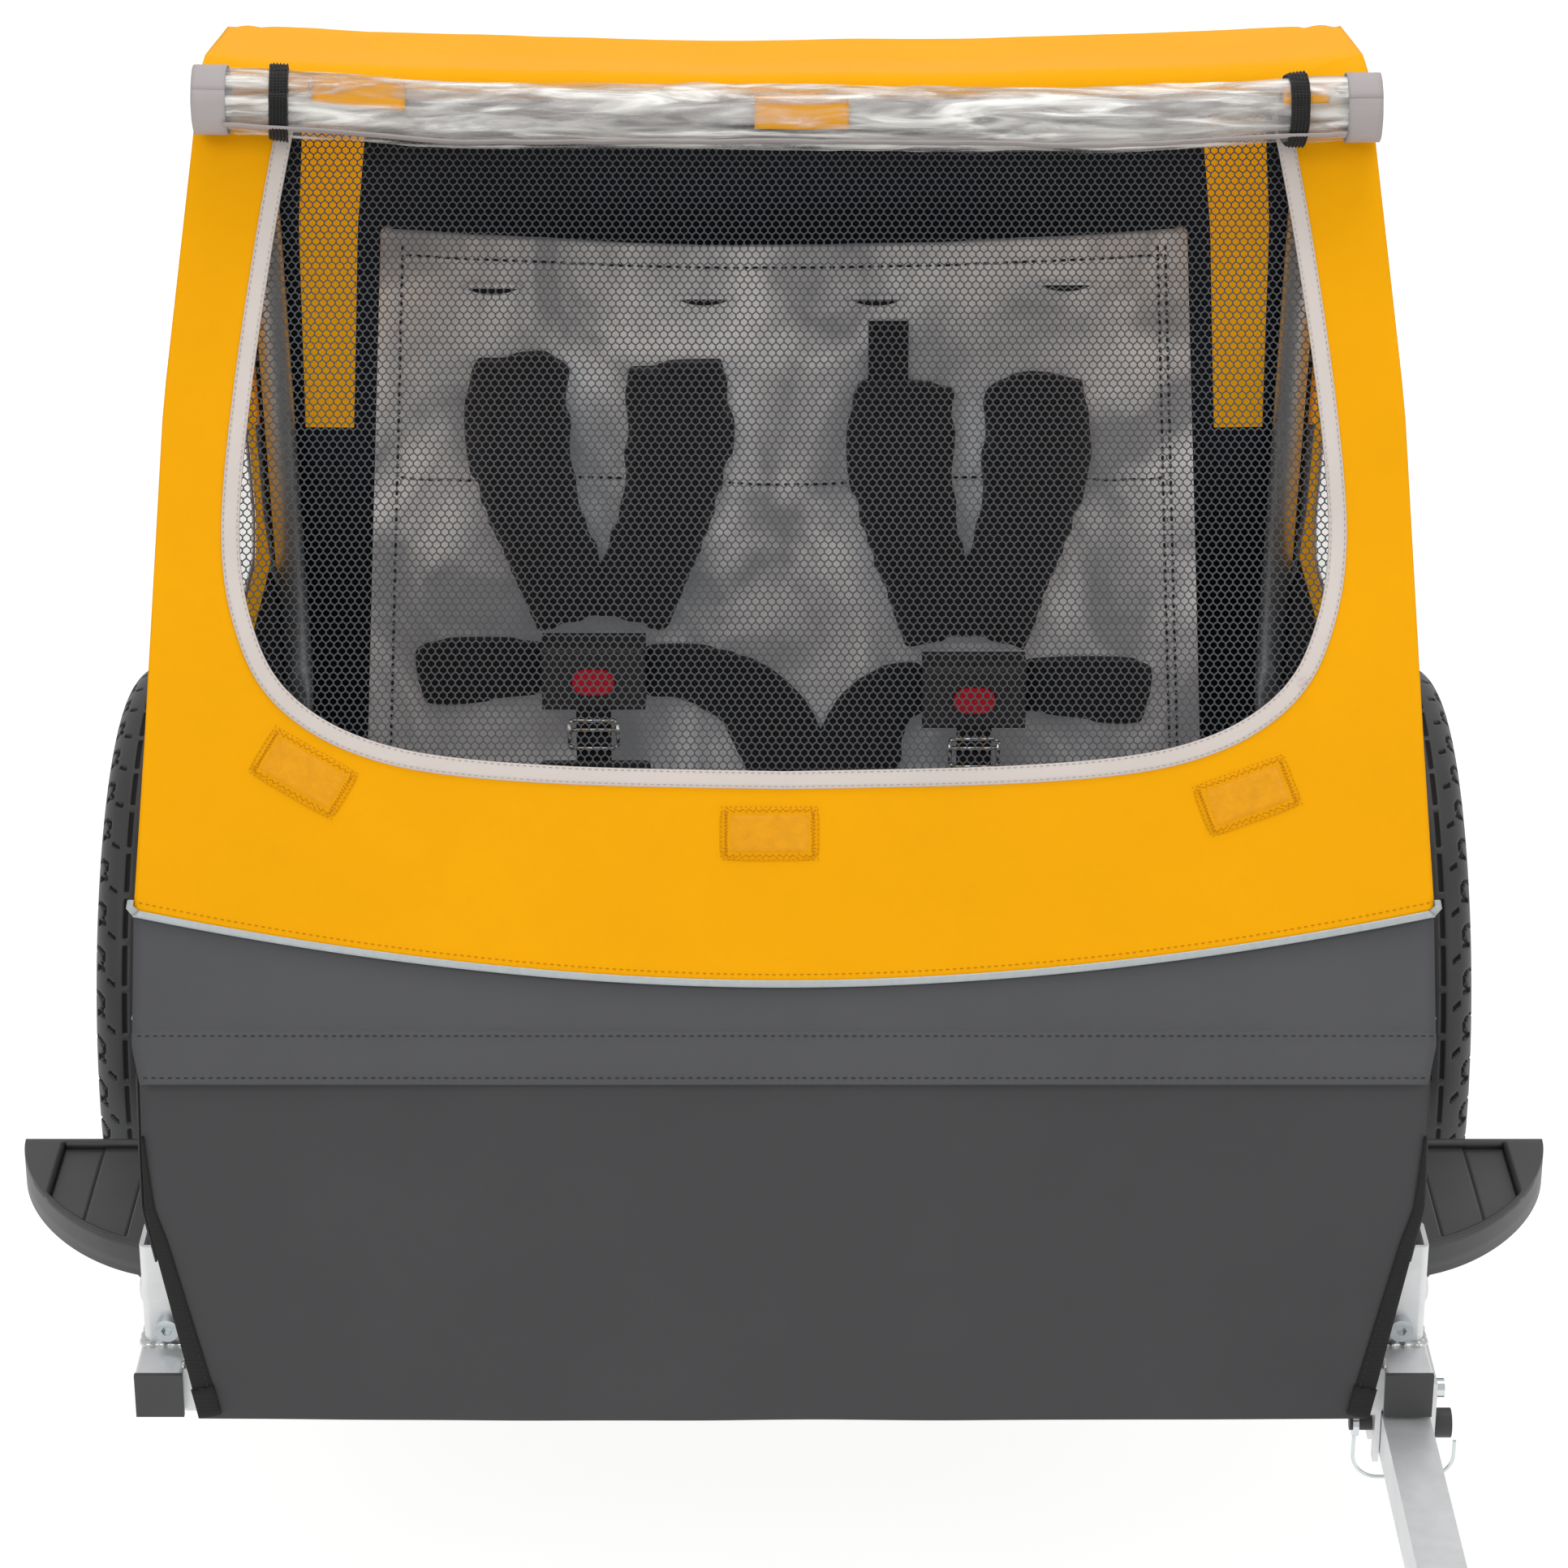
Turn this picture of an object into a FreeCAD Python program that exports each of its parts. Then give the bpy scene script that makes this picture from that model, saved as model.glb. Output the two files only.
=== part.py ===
import FreeCAD, Part
import math
import os

V = FreeCAD.Vector

# Two-seat child bicycle trailer, millimetres. +Z up, the front faces -Y.
# Y values below are measured from the wheel axle. AXLE_Y moves them to the model's own origin,
# which is on the ground at the middle of the trailer's length and width.
AXLE_Y = 394.5

# Square steel base frame
TUBE = 25.4
TUBE_WALL = 1.6
RAIL_X = 331.0
RAIL_FRONT = -500.0
RAIL_REAR = 262.0
RAIL_LOW = 185.0
RAIL_TOP = RAIL_LOW + TUBE
RAIL_IN = RAIL_X - TUBE / 2
RAIL_OUT = RAIL_X + TUBE / 2

# Wheels, 16 x 1.75
TYRE_R = 197.0
TYRE_HALF_W = 20.0
BEAD_R = 152.5
WHEEL_X = 388.0
HUB_HALF = 27.0
AXLE_R = 6.0
SPOKES = 20

# Folding side hoops, round tube on a bolt along Y in each U bracket
HOOP_R = 9.5
HOOP_WALL = 1.5
HOOP_BEND = 55.0
PIVOT_X = 329.0
PIVOT_Z = 222.0
PIVOT_FRONT = -457.0
PIVOT_REAR = 232.0
LEAN = 2.67
BOLT_R = 4.0
RUN_FIT = 0.08
HOOP_PATH = [
    (PIVOT_FRONT, 0.0),
    (PIVOT_FRONT - 2, 163.0),
    (-188.0, 603.0),
    (-52.0, 586.0),
    (PIVOT_REAR, 84.0),
    (PIVOT_REAR, 0.0),
]

# U brackets
CHANNEL = 28.0
CHANNEL_WALL = 2.5
CHANNEL_TOP = 270.0
CHANNEL_OUT = 342.0
CHANNEL_IN = 316.0

# Fabric body
CLOTH = 2.0
SKIN = 10.6
COVER_LOW = 375.6
KNEE = (-474.0, 394.0)
FRONT_TOP = (-197.0, 837.0)
CREST = (-44.0, 818.0)
REAR_KNEE = (244.5, 303.0)
SIDE_LOW = 213.0

# Tow arm
ARM_X = RAIL_X
ARM_Z = 169.7
ARM_PIVOT_Y = -415.0
ARM_PIN_Y = -484.0
ARM_BEND_1 = -740.0
ARM_SWAY = 150.0
ARM_BEND_2 = -955.0
ARM_TIP = -1012.0
PLATE = 3.0
ARM_GAP = 0.4

# Wheel guards
GUARD_IN = RAIL_OUT
GUARD_OUT = 439.0
GUARD_REAR = -253.0
GUARD_FRONT = -378.0
GUARD_TOP = 217.5
GUARD_H = 20.5

# Seat and harness
SEAT_W_TOP = 233.0
SEAT_W_LOW = 256.0
SEAT_TOP = 696.0
SEAT_LOW = 318.0
SEAT_FACE = -34.0
BUCKLES = [(-114.0, 426.0), (114.0, 414.0)]


def box(x0, x1, y0, y1, z0, z1):
    return Part.makeBox(x1 - x0, y1 - y0, z1 - z0, V(x0, y0, z0))


def rod(start, end, radius):
    a = V(*start)
    b = V(*end)
    return Part.makeCylinder(radius, (b - a).Length, a, b - a)


def emit(name, *shapes):
    solids = [s for shape in shapes for s in shape.Solids]
    whole = Part.makeCompound(solids) if len(solids) > 1 else solids[0]
    whole.translate(V(0, AXLE_Y, 0))
    whole.exportStep("parts/%s.step" % name)


def mirrored(shape):
    return shape.mirror(V(0, 0, 0), V(1, 0, 0))


def emit_pair(name, shape):
    """The shape is drawn on the +X side, which is the trailer's left."""
    emit(name + "_left", shape.copy())
    emit(name + "_right", mirrored(shape))


def prism(points, thickness):
    """Closed plane outline pushed out along its own normal."""
    pts = [V(*p) for p in points]
    face = Part.Face(Part.makePolygon(pts + pts[:1]))
    return face.extrude(face.normalAt(0, 0) * thickness)


def filleted_path(points, radius):
    """Straight runs through the points, joined by tangent arcs."""
    pts = [V(*p) for p in points]
    radii = radius if isinstance(radius, list) else [radius] * (len(pts) - 2)
    edges = []
    start = pts[0]
    for i in range(1, len(pts) - 1):
        to_prev = (pts[i - 1] - pts[i]).normalize()
        to_next = (pts[i + 1] - pts[i]).normalize()
        half = to_prev.getAngle(to_next) / 2
        back = radii[i - 1] / math.tan(half)
        a = pts[i] + to_prev * back
        b = pts[i] + to_next * back
        mid_dir = (to_prev + to_next).normalize()
        centre = pts[i] + mid_dir * (radii[i - 1] / math.sin(half))
        m = centre - mid_dir * radii[i - 1]
        edges.append(Part.LineSegment(start, a).toShape())
        edges.append(Part.Arc(a, m, b).toShape())
        start = b
    edges.append(Part.LineSegment(start, pts[-1]).toShape())
    return Part.Wire(edges)


def sweep_round(path, radius):
    first = path.Edges[0]
    ring = Part.makeCircle(radius, first.valueAt(first.FirstParameter), first.tangentAt(first.FirstParameter))
    return path.makePipeShell([Part.Wire(ring)], True, False)


def square_tube_y(x, y0, y1, z_mid):
    h = TUBE / 2
    k = h - TUBE_WALL
    outer = box(x - h, x + h, y0, y1, z_mid - h, z_mid + h)
    long_edges = [e for e in outer.Edges if abs(e.BoundBox.YLength - (y1 - y0)) < 0.1]
    outer = outer.makeFillet(2.0, long_edges)
    return outer.cut(box(x - k, x + k, y0 - 1, y1 + 1, z_mid - k, z_mid + k))


def square_tube_x(x0, x1, y, z_mid):
    h = TUBE / 2
    k = h - TUBE_WALL
    outer = box(x0, x1, y - h, y + h, z_mid - h, z_mid + h)
    return outer.cut(box(x0 - 1, x1 + 1, y - k, y + k, z_mid - k, z_mid + k))


# ---- base frame ----

RAIL_MID = RAIL_LOW + TUBE / 2


def end_plug(sign, y_face, outward):
    """Square plastic plug: a flat head over the tube's end and a stub inside it."""
    k = TUBE / 2 - TUBE_WALL
    h = TUBE / 2
    head_y = sorted([y_face, y_face + outward * 3.0])
    stub_y = sorted([y_face, y_face - outward * 14.0])
    head = box(RAIL_X - h, RAIL_X + h, head_y[0], head_y[1], RAIL_LOW, RAIL_TOP)
    stub = box(RAIL_X - k, RAIL_X + k, stub_y[0], stub_y[1], RAIL_MID - k, RAIL_MID + k)
    plug = head.fuse(stub).removeSplitter()
    return plug if sign > 0 else mirrored(plug)


def make_base():
    rail = square_tube_y(RAIL_X, RAIL_FRONT, RAIL_REAR, RAIL_MID)
    axle_hole = rod((RAIL_IN - 5, 0, TYRE_R), (RAIL_OUT + 5, 0, TYRE_R), AXLE_R)
    emit_pair("side_rail", rail.cut(axle_hole))
    emit("front_crossbar", square_tube_x(-RAIL_IN, RAIL_IN, -484.0, RAIL_MID))
    axle_bar = square_tube_x(-RAIL_IN, RAIL_IN, 0.0, RAIL_MID)
    emit("axle_crossbar", axle_bar)
    emit("rear_crossbar", square_tube_x(-RAIL_IN, RAIL_IN, 246.0, RAIL_MID))
    plugs = [end_plug(s, y, d) for s in (-1, 1) for y, d in ((RAIL_FRONT, -1), (RAIL_REAR, 1))]
    emit("rail_end_caps", *plugs)
    emit("floor_panel", box(-RAIL_IN - 14, RAIL_IN + 14, -438.0, 213.0, RAIL_TOP, RAIL_TOP + 1.2))


def channel(y_mid):
    """U bracket, open towards the middle of the trailer, with its web outermost."""
    half = CHANNEL / 2
    body = box(CHANNEL_IN, CHANNEL_OUT, y_mid - half, y_mid + half, RAIL_TOP, CHANNEL_TOP)
    upright = [
        e for e in body.Edges
        if e.BoundBox.ZLength > 50 and abs(e.CenterOfMass.x - CHANNEL_OUT) < 0.1
    ]
    body = body.makeFillet(4.0, upright)
    inside = half - CHANNEL_WALL
    web = CHANNEL_OUT - CHANNEL_WALL
    slot = box(CHANNEL_IN - 1, web, y_mid - inside, y_mid + inside, RAIL_TOP - 1, CHANNEL_TOP + 1)
    body = body.cut(slot)
    return body.cut(rod((PIVOT_X, y_mid - 20, PIVOT_Z), (PIVOT_X, y_mid + 20, PIVOT_Z), BOLT_R))


def pivot_bolt(y_mid):
    """Socket-head bolt along Y with a nut behind the bracket."""
    half = CHANNEL / 2
    shank = rod((PIVOT_X, y_mid - half, PIVOT_Z), (PIVOT_X, y_mid + half, PIVOT_Z), BOLT_R)
    head = rod((PIVOT_X, y_mid - half - 6, PIVOT_Z), (PIVOT_X, y_mid - half, PIVOT_Z), 6.5)
    nut = rod((PIVOT_X, y_mid + half, PIVOT_Z), (PIVOT_X, y_mid + half + 5.5, PIVOT_Z), 7.0)
    socket = prism(hexagon(PIVOT_X, y_mid - half - 6, PIVOT_Z, 2.9), 3.0)
    bolt = shank.fuse([head, nut]).removeSplitter()
    return bolt.cut(socket_inward(socket, y_mid - half - 6))


def hexagon(x, y, z, radius):
    turns = [math.radians(60 * i) for i in range(6)]
    return [(x + radius * math.cos(t), y, z + radius * math.sin(t)) for t in turns]


def socket_inward(socket, y_face):
    """Keeps the hexagonal recess on the bolt's side of its face."""
    if socket.BoundBox.YMin < y_face - 0.1:
        socket.translate(V(0, 3.0, 0))
    return socket


def make_brackets():
    emit_pair("front_bracket", channel(PIVOT_FRONT))
    emit_pair("rear_bracket", channel(PIVOT_REAR))
    bolts = [pivot_bolt(y) for y in (PIVOT_FRONT, PIVOT_REAR)]
    emit("pivot_bolts", *bolts, *[mirrored(b) for b in bolts])
    gap = CHANNEL / 2 - CHANNEL_WALL
    washers = []
    for y in (PIVOT_FRONT, PIVOT_REAR):
        for side in (-1, 1):
            a = (PIVOT_X, y + side * (HOOP_R + 0.1), PIVOT_Z)
            b = (PIVOT_X, y + side * gap, PIVOT_Z)
            washers.append(rod(a, b, 8.0).cut(rod(a, b, BOLT_R)))
    emit("pivot_washers", *washers, *[mirrored(w) for w in washers])


# ---- folding side hoops ----


def make_hoops():
    points = [(0, y, up) for y, up in HOOP_PATH]
    radii = [HOOP_BEND, HOOP_BEND, HOOP_BEND, HOOP_BEND]
    outer = sweep_round(filleted_path(points, radii), HOOP_R)
    inner_points = [(0, PIVOT_FRONT - 0.2, 16.0)] + points[1:-1] + [(0, PIVOT_REAR, 16.0)]
    bore = sweep_round(filleted_path(inner_points, radii), HOOP_R - HOOP_WALL)
    hoop = outer.cut(bore)
    for y in (PIVOT_FRONT, PIVOT_REAR):
        eye = rod((0, y - HOOP_R, 0), (0, y + HOOP_R, 0), HOOP_R)
        hoop = hoop.fuse(eye)
    for y in (PIVOT_FRONT, PIVOT_REAR):
        hoop = hoop.cut(rod((0, y - 20, 0), (0, y + 20, 0), BOLT_R + RUN_FIT))
    hoop = hoop.removeSplitter()
    hoop.rotate(V(0, 0, 0), V(0, 1, 0), -LEAN)
    hoop.translate(V(PIVOT_X, 0, PIVOT_Z))
    emit_pair("side_hoop", hoop)
    print("side hoop solids", len(hoop.Solids), hoop.isValid())


# ---- fabric body ----


def half_width(z):
    """Outside of the hoop plane at height z, where the side skins lie."""
    return PIVOT_X + SKIN - math.tan(math.radians(LEAN)) * (z - PIVOT_Z)


def across(y0, z0, y1, z1, t):
    """A point on the front slope: t is 0 at the knee and 1 at the roof's front edge."""
    return (y0 + (y1 - y0) * t, z0 + (z1 - z0) * t)


def slope_plate(low, high, inset, thickness):
    """Trapezoid of cloth between two edges that both run along X."""
    (y0, z0), (y1, z1) = low, high
    a = half_width(z0) - inset
    b = half_width(z1) - inset
    return prism([(-a, y0, z0), (a, y0, z0), (b, y1, z1), (-b, y1, z1)], thickness)


WINDOW = [
    (0.270, 0.90), (0.291, 0.58), (0.288, 0.42), (0.272, 0.345), (0.220, 0.295),
    (0.110, 0.262), (0.0, 0.254),
]


def window_outline():
    right = [(x * 1000, t) for x, t in WINDOW]
    left = [(-x, t) for x, t in reversed(right[:-1])]
    return right + left


def on_slope(x, t, lift):
    """Point on the front slope, lifted along the slope's outward normal."""
    y, z = across(*KNEE, *FRONT_TOP, t)
    dy = FRONT_TOP[0] - KNEE[0]
    dz = FRONT_TOP[1] - KNEE[1]
    size = math.hypot(dy, dz)
    return (x, y - lift * dz / size, z + lift * dy / size)


def slope_prism(outline, lift, thickness):
    """Outline on the front slope, from lift to lift + thickness above it."""
    pts = [V(*on_slope(x, t, lift)) for x, t in outline]
    face = Part.Face(Part.makePolygon(pts + pts[:1]))
    up = V(*on_slope(0, 0, 1)) - V(*on_slope(0, 0, 0))
    return face.extrude(up * thickness)


def make_front():
    low = half_width(KNEE[1]) - 4.5
    high = half_width(FRONT_TOP[1]) - 0.5
    sheet = slope_prism([(-low, 0), (low, 0), (high, 0.985), (-high, 0.985)], 0, CLOTH)
    sheet = sheet.cut(slope_prism(window_outline(), -1, CLOTH + 2))
    emit("front_cover", sheet)
    y = KNEE[0] - 10
    emit("front_hem", box(-low, low, y - CLOTH, y, COVER_LOW, KNEE[1] - 3))
    inset = [(x * 0.985, 0.258 + (t - 0.254) * 0.985) for x, t in window_outline()]
    emit("mesh_window", slope_prism(inset, 0.3, 1.0))
    make_front_panel(low)
    make_patches()
    make_roll()


def make_front_panel(top_half):
    y = -500.0 - 6.0
    outline = [
        (-302, y, 185.5), (302, y, 185.5), (top_half - 2, -489.5, 318),
        (top_half - 4, -489.5, COVER_LOW + 12), (-top_half + 4, -489.5, COVER_LOW + 12),
        (-top_half + 2, -489.5, 318),
    ]
    lower = [outline[0], outline[1], outline[2], outline[5]]
    lower_plate = prism(lower, CLOTH)
    upper = box(-top_half + 4, top_half - 4, -489.5, -489.5 + CLOTH, 318.0, COVER_LOW - 2)
    emit("front_panel", shift_clear(lower_plate), upper)


def shift_clear(plate):
    """Keeps the slanted lower plate ahead of the rail ends and just below the upper plate."""
    plate.translate(V(0, -504.5 - plate.BoundBox.YMax + 14.5, -0.4))
    return plate


def make_patches():
    spots = [(-251.5, 0.268, 30), (-7.0, 0.209, 0), (241.0, 0.246, -20)]
    pads = []
    for x, t, turn in spots:
        pad = box(-26, 26, -15, 15, 0, 1.2)
        pad.rotate(V(0, 0, 0), V(0, 0, 1), -turn)
        rise = math.degrees(math.atan2(FRONT_TOP[1] - KNEE[1], FRONT_TOP[0] - KNEE[0]))
        pad.rotate(V(0, 0, 0), V(1, 0, 0), rise)
        pad.translate(V(*on_slope(x, t, CLOTH + 0.2)))
        pads.append(pad)
    emit("hook_patches", *pads)


def make_roll():
    """Rain cover rolled up along the top of the window, and the two loops that hold it."""
    r = 16.5
    lift = r + CLOTH + 2.6
    ends = [on_slope(-311, 0.955, lift), on_slope(-160, 0.938, lift)]
    ends += [on_slope(160, 0.935, lift), on_slope(313, 0.947, lift)]
    emit("rain_cover_roll", sweep_round(filleted_path(ends, [400.0, 400.0]), r))
    loops = []
    for x, t in ((-266, 0.950), (270, 0.9434)):
        _, y, z = on_slope(x, t, lift)
        ring = rod((x - 5, y, z), (x + 5, y, z), r + 2.2)
        loops.append(ring.cut(rod((x - 6, y, z), (x + 6, y, z), r + 0.8)))
    emit("roll_loops", *loops)


SIDE_OUTLINE = [
    (-438.0, SIDE_LOW), (213.0, SIDE_LOW), (213.0, 276.0), (241.0, 276.0), (241.0, 300.0),
    (-46.0, 815.0), (-196.0, 834.0), (-471.0, 394.0), (-471.0, 276.0), (-438.0, 276.0),
]
SIDE_WINDOW = [(-300.0, 430.0), (138.0, 430.0), (15.0, 640.0), (-190.0, 640.0)]


def side_plane(outline, lift, thickness):
    """Outline given as (y, z) laid on the leaning +X side, lift outward of the hoop tube."""
    drawn = prism([(0, y, z - PIVOT_Z) for y, z in outline], thickness)
    drawn.translate(V(-drawn.BoundBox.XMin + HOOP_R + lift, 0, 0))
    drawn.rotate(V(0, 0, 0), V(0, 1, 0), -LEAN)
    drawn.translate(V(PIVOT_X, 0, PIVOT_Z))
    return drawn


def make_sides():
    skin = side_plane(SIDE_OUTLINE, 0.4, 1.4)
    hole = side_plane(SIDE_WINDOW, -1.0, 5.0)
    emit_pair("side_cover", skin.cut(hole))
    pane = [(-299.0, 430.6), (137.0, 430.6), (14.6, 639.4), (-189.5, 639.4)]
    emit_pair("side_window", side_plane(pane, 0.6, 0.8))


def make_roof_and_rear():
    y0, z0 = FRONT_TOP
    y1, z1 = CREST
    emit("roof_cover", slope_prism_between((y0 + 1, z0 + 0.5), (y1 - 1, z1 + 0.5), 2.0))
    emit("rear_cover", slope_prism_between((CREST[0] + 3, CREST[1] - 4), (REAR_KNEE[0], REAR_KNEE[1]), 2.0))
    a = 308.0
    emit("rear_panel", box(-a, a, 250.0, 252.0, RAIL_TOP + 0.5, REAR_KNEE[1] - 3))


def slope_prism_between(low, high, thickness):
    """Cloth between two cross edges, thickened upwards."""
    (y0, z0), (y1, z1) = low, high
    a = half_width(z0) - 1
    b = half_width(z1) - 1
    pts = [V(-a, y0, z0), V(a, y0, z0), V(b, y1, z1), V(-b, y1, z1)]
    face = Part.Face(Part.makePolygon(pts + pts[:1]))
    size = math.hypot(y1 - y0, z1 - z0)
    return face.extrude(V(0, -(z1 - z0) / size, (y1 - y0) / size) * thickness)


# ---- seat and harness ----


def make_seat():
    back = prism(
        [
            (-SEAT_W_LOW, SEAT_FACE, SEAT_LOW), (SEAT_W_LOW, SEAT_FACE, SEAT_LOW),
            (SEAT_W_TOP + 4, SEAT_FACE, SEAT_TOP), (-SEAT_W_TOP, SEAT_FACE, SEAT_TOP),
        ],
        10.0,
    )
    back.translate(V(0, SEAT_FACE - back.BoundBox.YMin, 0))
    emit("seat_back", back)
    emit("seat_base", box(-SEAT_W_LOW, SEAT_W_LOW, -305.0, SEAT_FACE - 1, 285.0, 315.0))
    make_pads()
    make_buckles()


def slab(points, y_front, depth):
    plate = prism([(x, 0, z) for x, z in points], depth)
    plate.translate(V(0, y_front - plate.BoundBox.YMin, 0))
    return plate


def make_pads():
    pads = []
    for cx, cz in BUCKLES:
        for side in (-1, 1):
            inner = side * 14
            outer = side * 58
            low = cz + 26
            top = cz + 178
            pads.append(
                slab(
                    [
                        (cx + inner, low), (cx + side * 50, low + 4), (cx + outer + side * 18, low + 90),
                        (cx + outer + side * 6, top), (cx + side * 26, top), (cx + side * 22, low + 70),
                    ],
                    -62.0, 24.0,
                )
            )
    emit("shoulder_pads", *pads)
    waists = []
    for cx, cz in BUCKLES:
        for side in (-1, 1):
            xs = sorted([cx + side * 34, cx + side * 104])
            waists.append(box(xs[0], xs[1], -66.0, -40.0, cz - 14, cz + 14))
    emit("waist_pads", *waists)
    crotches = [box(cx - 36, cx + 36, -108.0, -72.0, cz - 92, cz - 48) for cx, cz in BUCKLES]
    emit("crotch_pads", *crotches)
    rings = []
    for cx, cz in BUCKLES:
        ring = box(cx - 17, cx + 17, -76.0, -73.0, cz - 46, cz - 20)
        rings.append(ring.cut(box(cx - 12, cx + 12, -77.0, -72.0, cz - 41, cz - 25)))
    emit("strap_adjusters", *rings)
    tapes = []
    for cx, cz in BUCKLES:
        for side in (-1, 1):
            x = cx + side * 56
            tapes.append(box(x - 12, x + 12, -48.0, -46.0, cz + 179, cz + 226))
        tapes.append(box(cx - 11, cx + 11, -72.0, -70.0, cz - 62, cz - 19))
    emit("harness_straps", *tapes)


def make_buckles():
    shells = []
    buttons = []
    for cx, cz in BUCKLES:
        shell = box(cx - 31, cx + 31, -70.0, -44.0, cz - 18, cz + 22)
        front = [e for e in shell.Edges if abs(e.CenterOfMass.y + 70.0) < 0.1]
        shell = shell.makeFillet(3.0, front)
        well = oval(cx, cz + 1, 13.0, 8.5, -71.0, -62.0)
        shells.append(shell.cut(well))
        buttons.append(oval(cx, cz + 1, 12.6, 8.1, -71.5, -66.0))
    emit("harness_buckles", *shells)
    emit("buckle_button_right", buttons[0])
    emit("buckle_button_left", buttons[1])


def oval(cx, cz, rx, rz, y0, y1):
    """Round-ended button shape, wider than it is high."""
    flat = rx - rz
    body = rod((cx - flat, y0, cz), (cx - flat, y1, cz), rz)
    body = body.fuse(rod((cx + flat, y0, cz), (cx + flat, y1, cz), rz))
    return body.fuse(box(cx - flat, cx + flat, y0, y1, cz - rz, cz + rz)).removeSplitter()


# ---- wheels ----


def revolved(profile):
    """Closed (x, r) outline turned about the axle line through the wheel's middle plane."""
    pts = [V(WHEEL_X + x, 0, r) for x, r in profile]
    face = Part.Face(Part.makePolygon(pts + pts[:1]))
    ring = face.revolve(V(WHEEL_X, 0, 0), V(1, 0, 0), 360)
    ring.translate(V(0, 0, TYRE_R))
    return ring


def make_tyre():
    w = TYRE_HALF_W
    outer = [
        (-w + 4, BEAD_R), (-w + 1.5, 160.0), (-w, 173.0), (-w + 2.5, 184.0), (-12, 192.0),
        (-6, 196.0), (0, TYRE_R), (6, 196.0), (12, 192.0), (w - 2.5, 184.0), (w, 173.0),
        (w - 1.5, 160.0), (w - 4, BEAD_R),
    ]
    inner = [(w - 7, BEAD_R + 1), (w - 3, 173.0), (10, 188.5), (-10, 188.5), (-w + 3, 173.0), (-w + 7, BEAD_R + 1)]
    emit_pair("tyre", revolved(outer + inner))


def make_rim():
    profile = [
        (-12.9, 159.0), (-10.8, 159.0), (-10.8, 147.0), (10.8, 147.0), (10.8, 159.0), (12.9, 159.0),
        (12.9, 146.0), (6.0, 138.5), (-6.0, 138.5), (-12.9, 146.0),
    ]
    emit_pair("rim", revolved(profile))


def make_spokes():
    spokes = []
    for i in range(SPOKES):
        turn = math.radians(360.0 / SPOKES * i)
        side = 1 if i % 2 else -1
        swing = turn + math.radians(26.0 if i % 4 < 2 else -26.0)
        a = (WHEEL_X + side * 19.0, 22.6 * math.sin(swing), TYRE_R + 22.6 * math.cos(swing))
        b = (WHEEL_X + side * 2.0, 138.0 * math.sin(turn), TYRE_R + 138.0 * math.cos(turn))
        spokes.append(rod(a, b, 1.0))
    emit_pair("spokes", Part.makeCompound(spokes))


def make_hubs():
    h = HUB_HALF
    r = AXLE_R + 0.3
    profile = [
        (-h, r), (-h, 12.0), (-22.0, 12.0), (-22.0, 22.0), (-17.0, 22.0), (-17.0, 13.0),
        (17.0, 13.0), (17.0, 22.0), (22.0, 22.0), (22.0, 12.0), (h, 12.0), (h, r),
    ]
    emit_pair("hub", revolved(profile))
    axle = rod((RAIL_IN, 0, TYRE_R), (WHEEL_X + h + 0.6, 0, TYRE_R), AXLE_R)
    cap = rod((WHEEL_X + h + 0.6, 0, TYRE_R), (WHEEL_X + h + 6.0, 0, TYRE_R), 9.0)
    emit_pair("axle", axle.fuse(cap).removeSplitter())
    seat = rod((RAIL_OUT, 0, TYRE_R), (WHEEL_X - h - 0.6, 0, TYRE_R), 11.0)
    seat = seat.cut(rod((RAIL_OUT - 1, 0, TYRE_R), (WHEEL_X - h, 0, TYRE_R), AXLE_R))
    emit("axle_receivers", seat, mirrored(seat))


# ---- wheel guards ----


def guard_outline(inset, x_in):
    """Quarter ellipse in plan, straight along the back edge and along the rail."""
    pts = [(x_in, GUARD_REAR - inset)]
    steps = 14
    a = GUARD_OUT - GUARD_IN - inset
    b = GUARD_REAR - GUARD_FRONT - inset
    for i in range(steps + 1):
        t = math.radians(90.0 * i / steps)
        x = GUARD_IN + a * math.cos(t)
        if x > x_in:
            pts.append((x, GUARD_REAR - b * math.sin(t)))
    pts.append((x_in, GUARD_REAR - b))
    return pts


def make_guards():
    def slab_at(outline, z0, z1):
        pts = [V(x, y, z0) for x, y in outline]
        return Part.Face(Part.makePolygon(pts + pts[:1])).extrude(V(0, 0, z1 - z0))

    low = GUARD_TOP - GUARD_H
    body = slab_at(guard_outline(0, GUARD_IN), low, GUARD_TOP)
    body = body.cut(slab_at(guard_outline(3.0, GUARD_IN + 3.0), low - 1, GUARD_TOP - 3.0))
    body = body.cut(slab_at(guard_outline(8.0, GUARD_IN + 22.0), GUARD_TOP - 1.2, GUARD_TOP + 1))
    rib = box(GUARD_IN + 44, GUARD_IN + 47, GUARD_FRONT + 30, GUARD_REAR - 5, low + 6, GUARD_TOP - 3.0)
    body = body.fuse(rib).removeSplitter()
    emit_pair("wheel_guard", body.common(slab_at(guard_outline(0, GUARD_IN), low, GUARD_TOP)))
    bolts = []
    for y in (GUARD_REAR - 30, GUARD_FRONT + 35):
        z = GUARD_TOP - 11
        bolts.append(rod((GUARD_IN + 3, y, z), (GUARD_IN + 7, y, z), 5.5))
    emit("guard_bolts", *bolts, *[mirrored(b) for b in bolts])


# ---- tow arm ----


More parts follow.
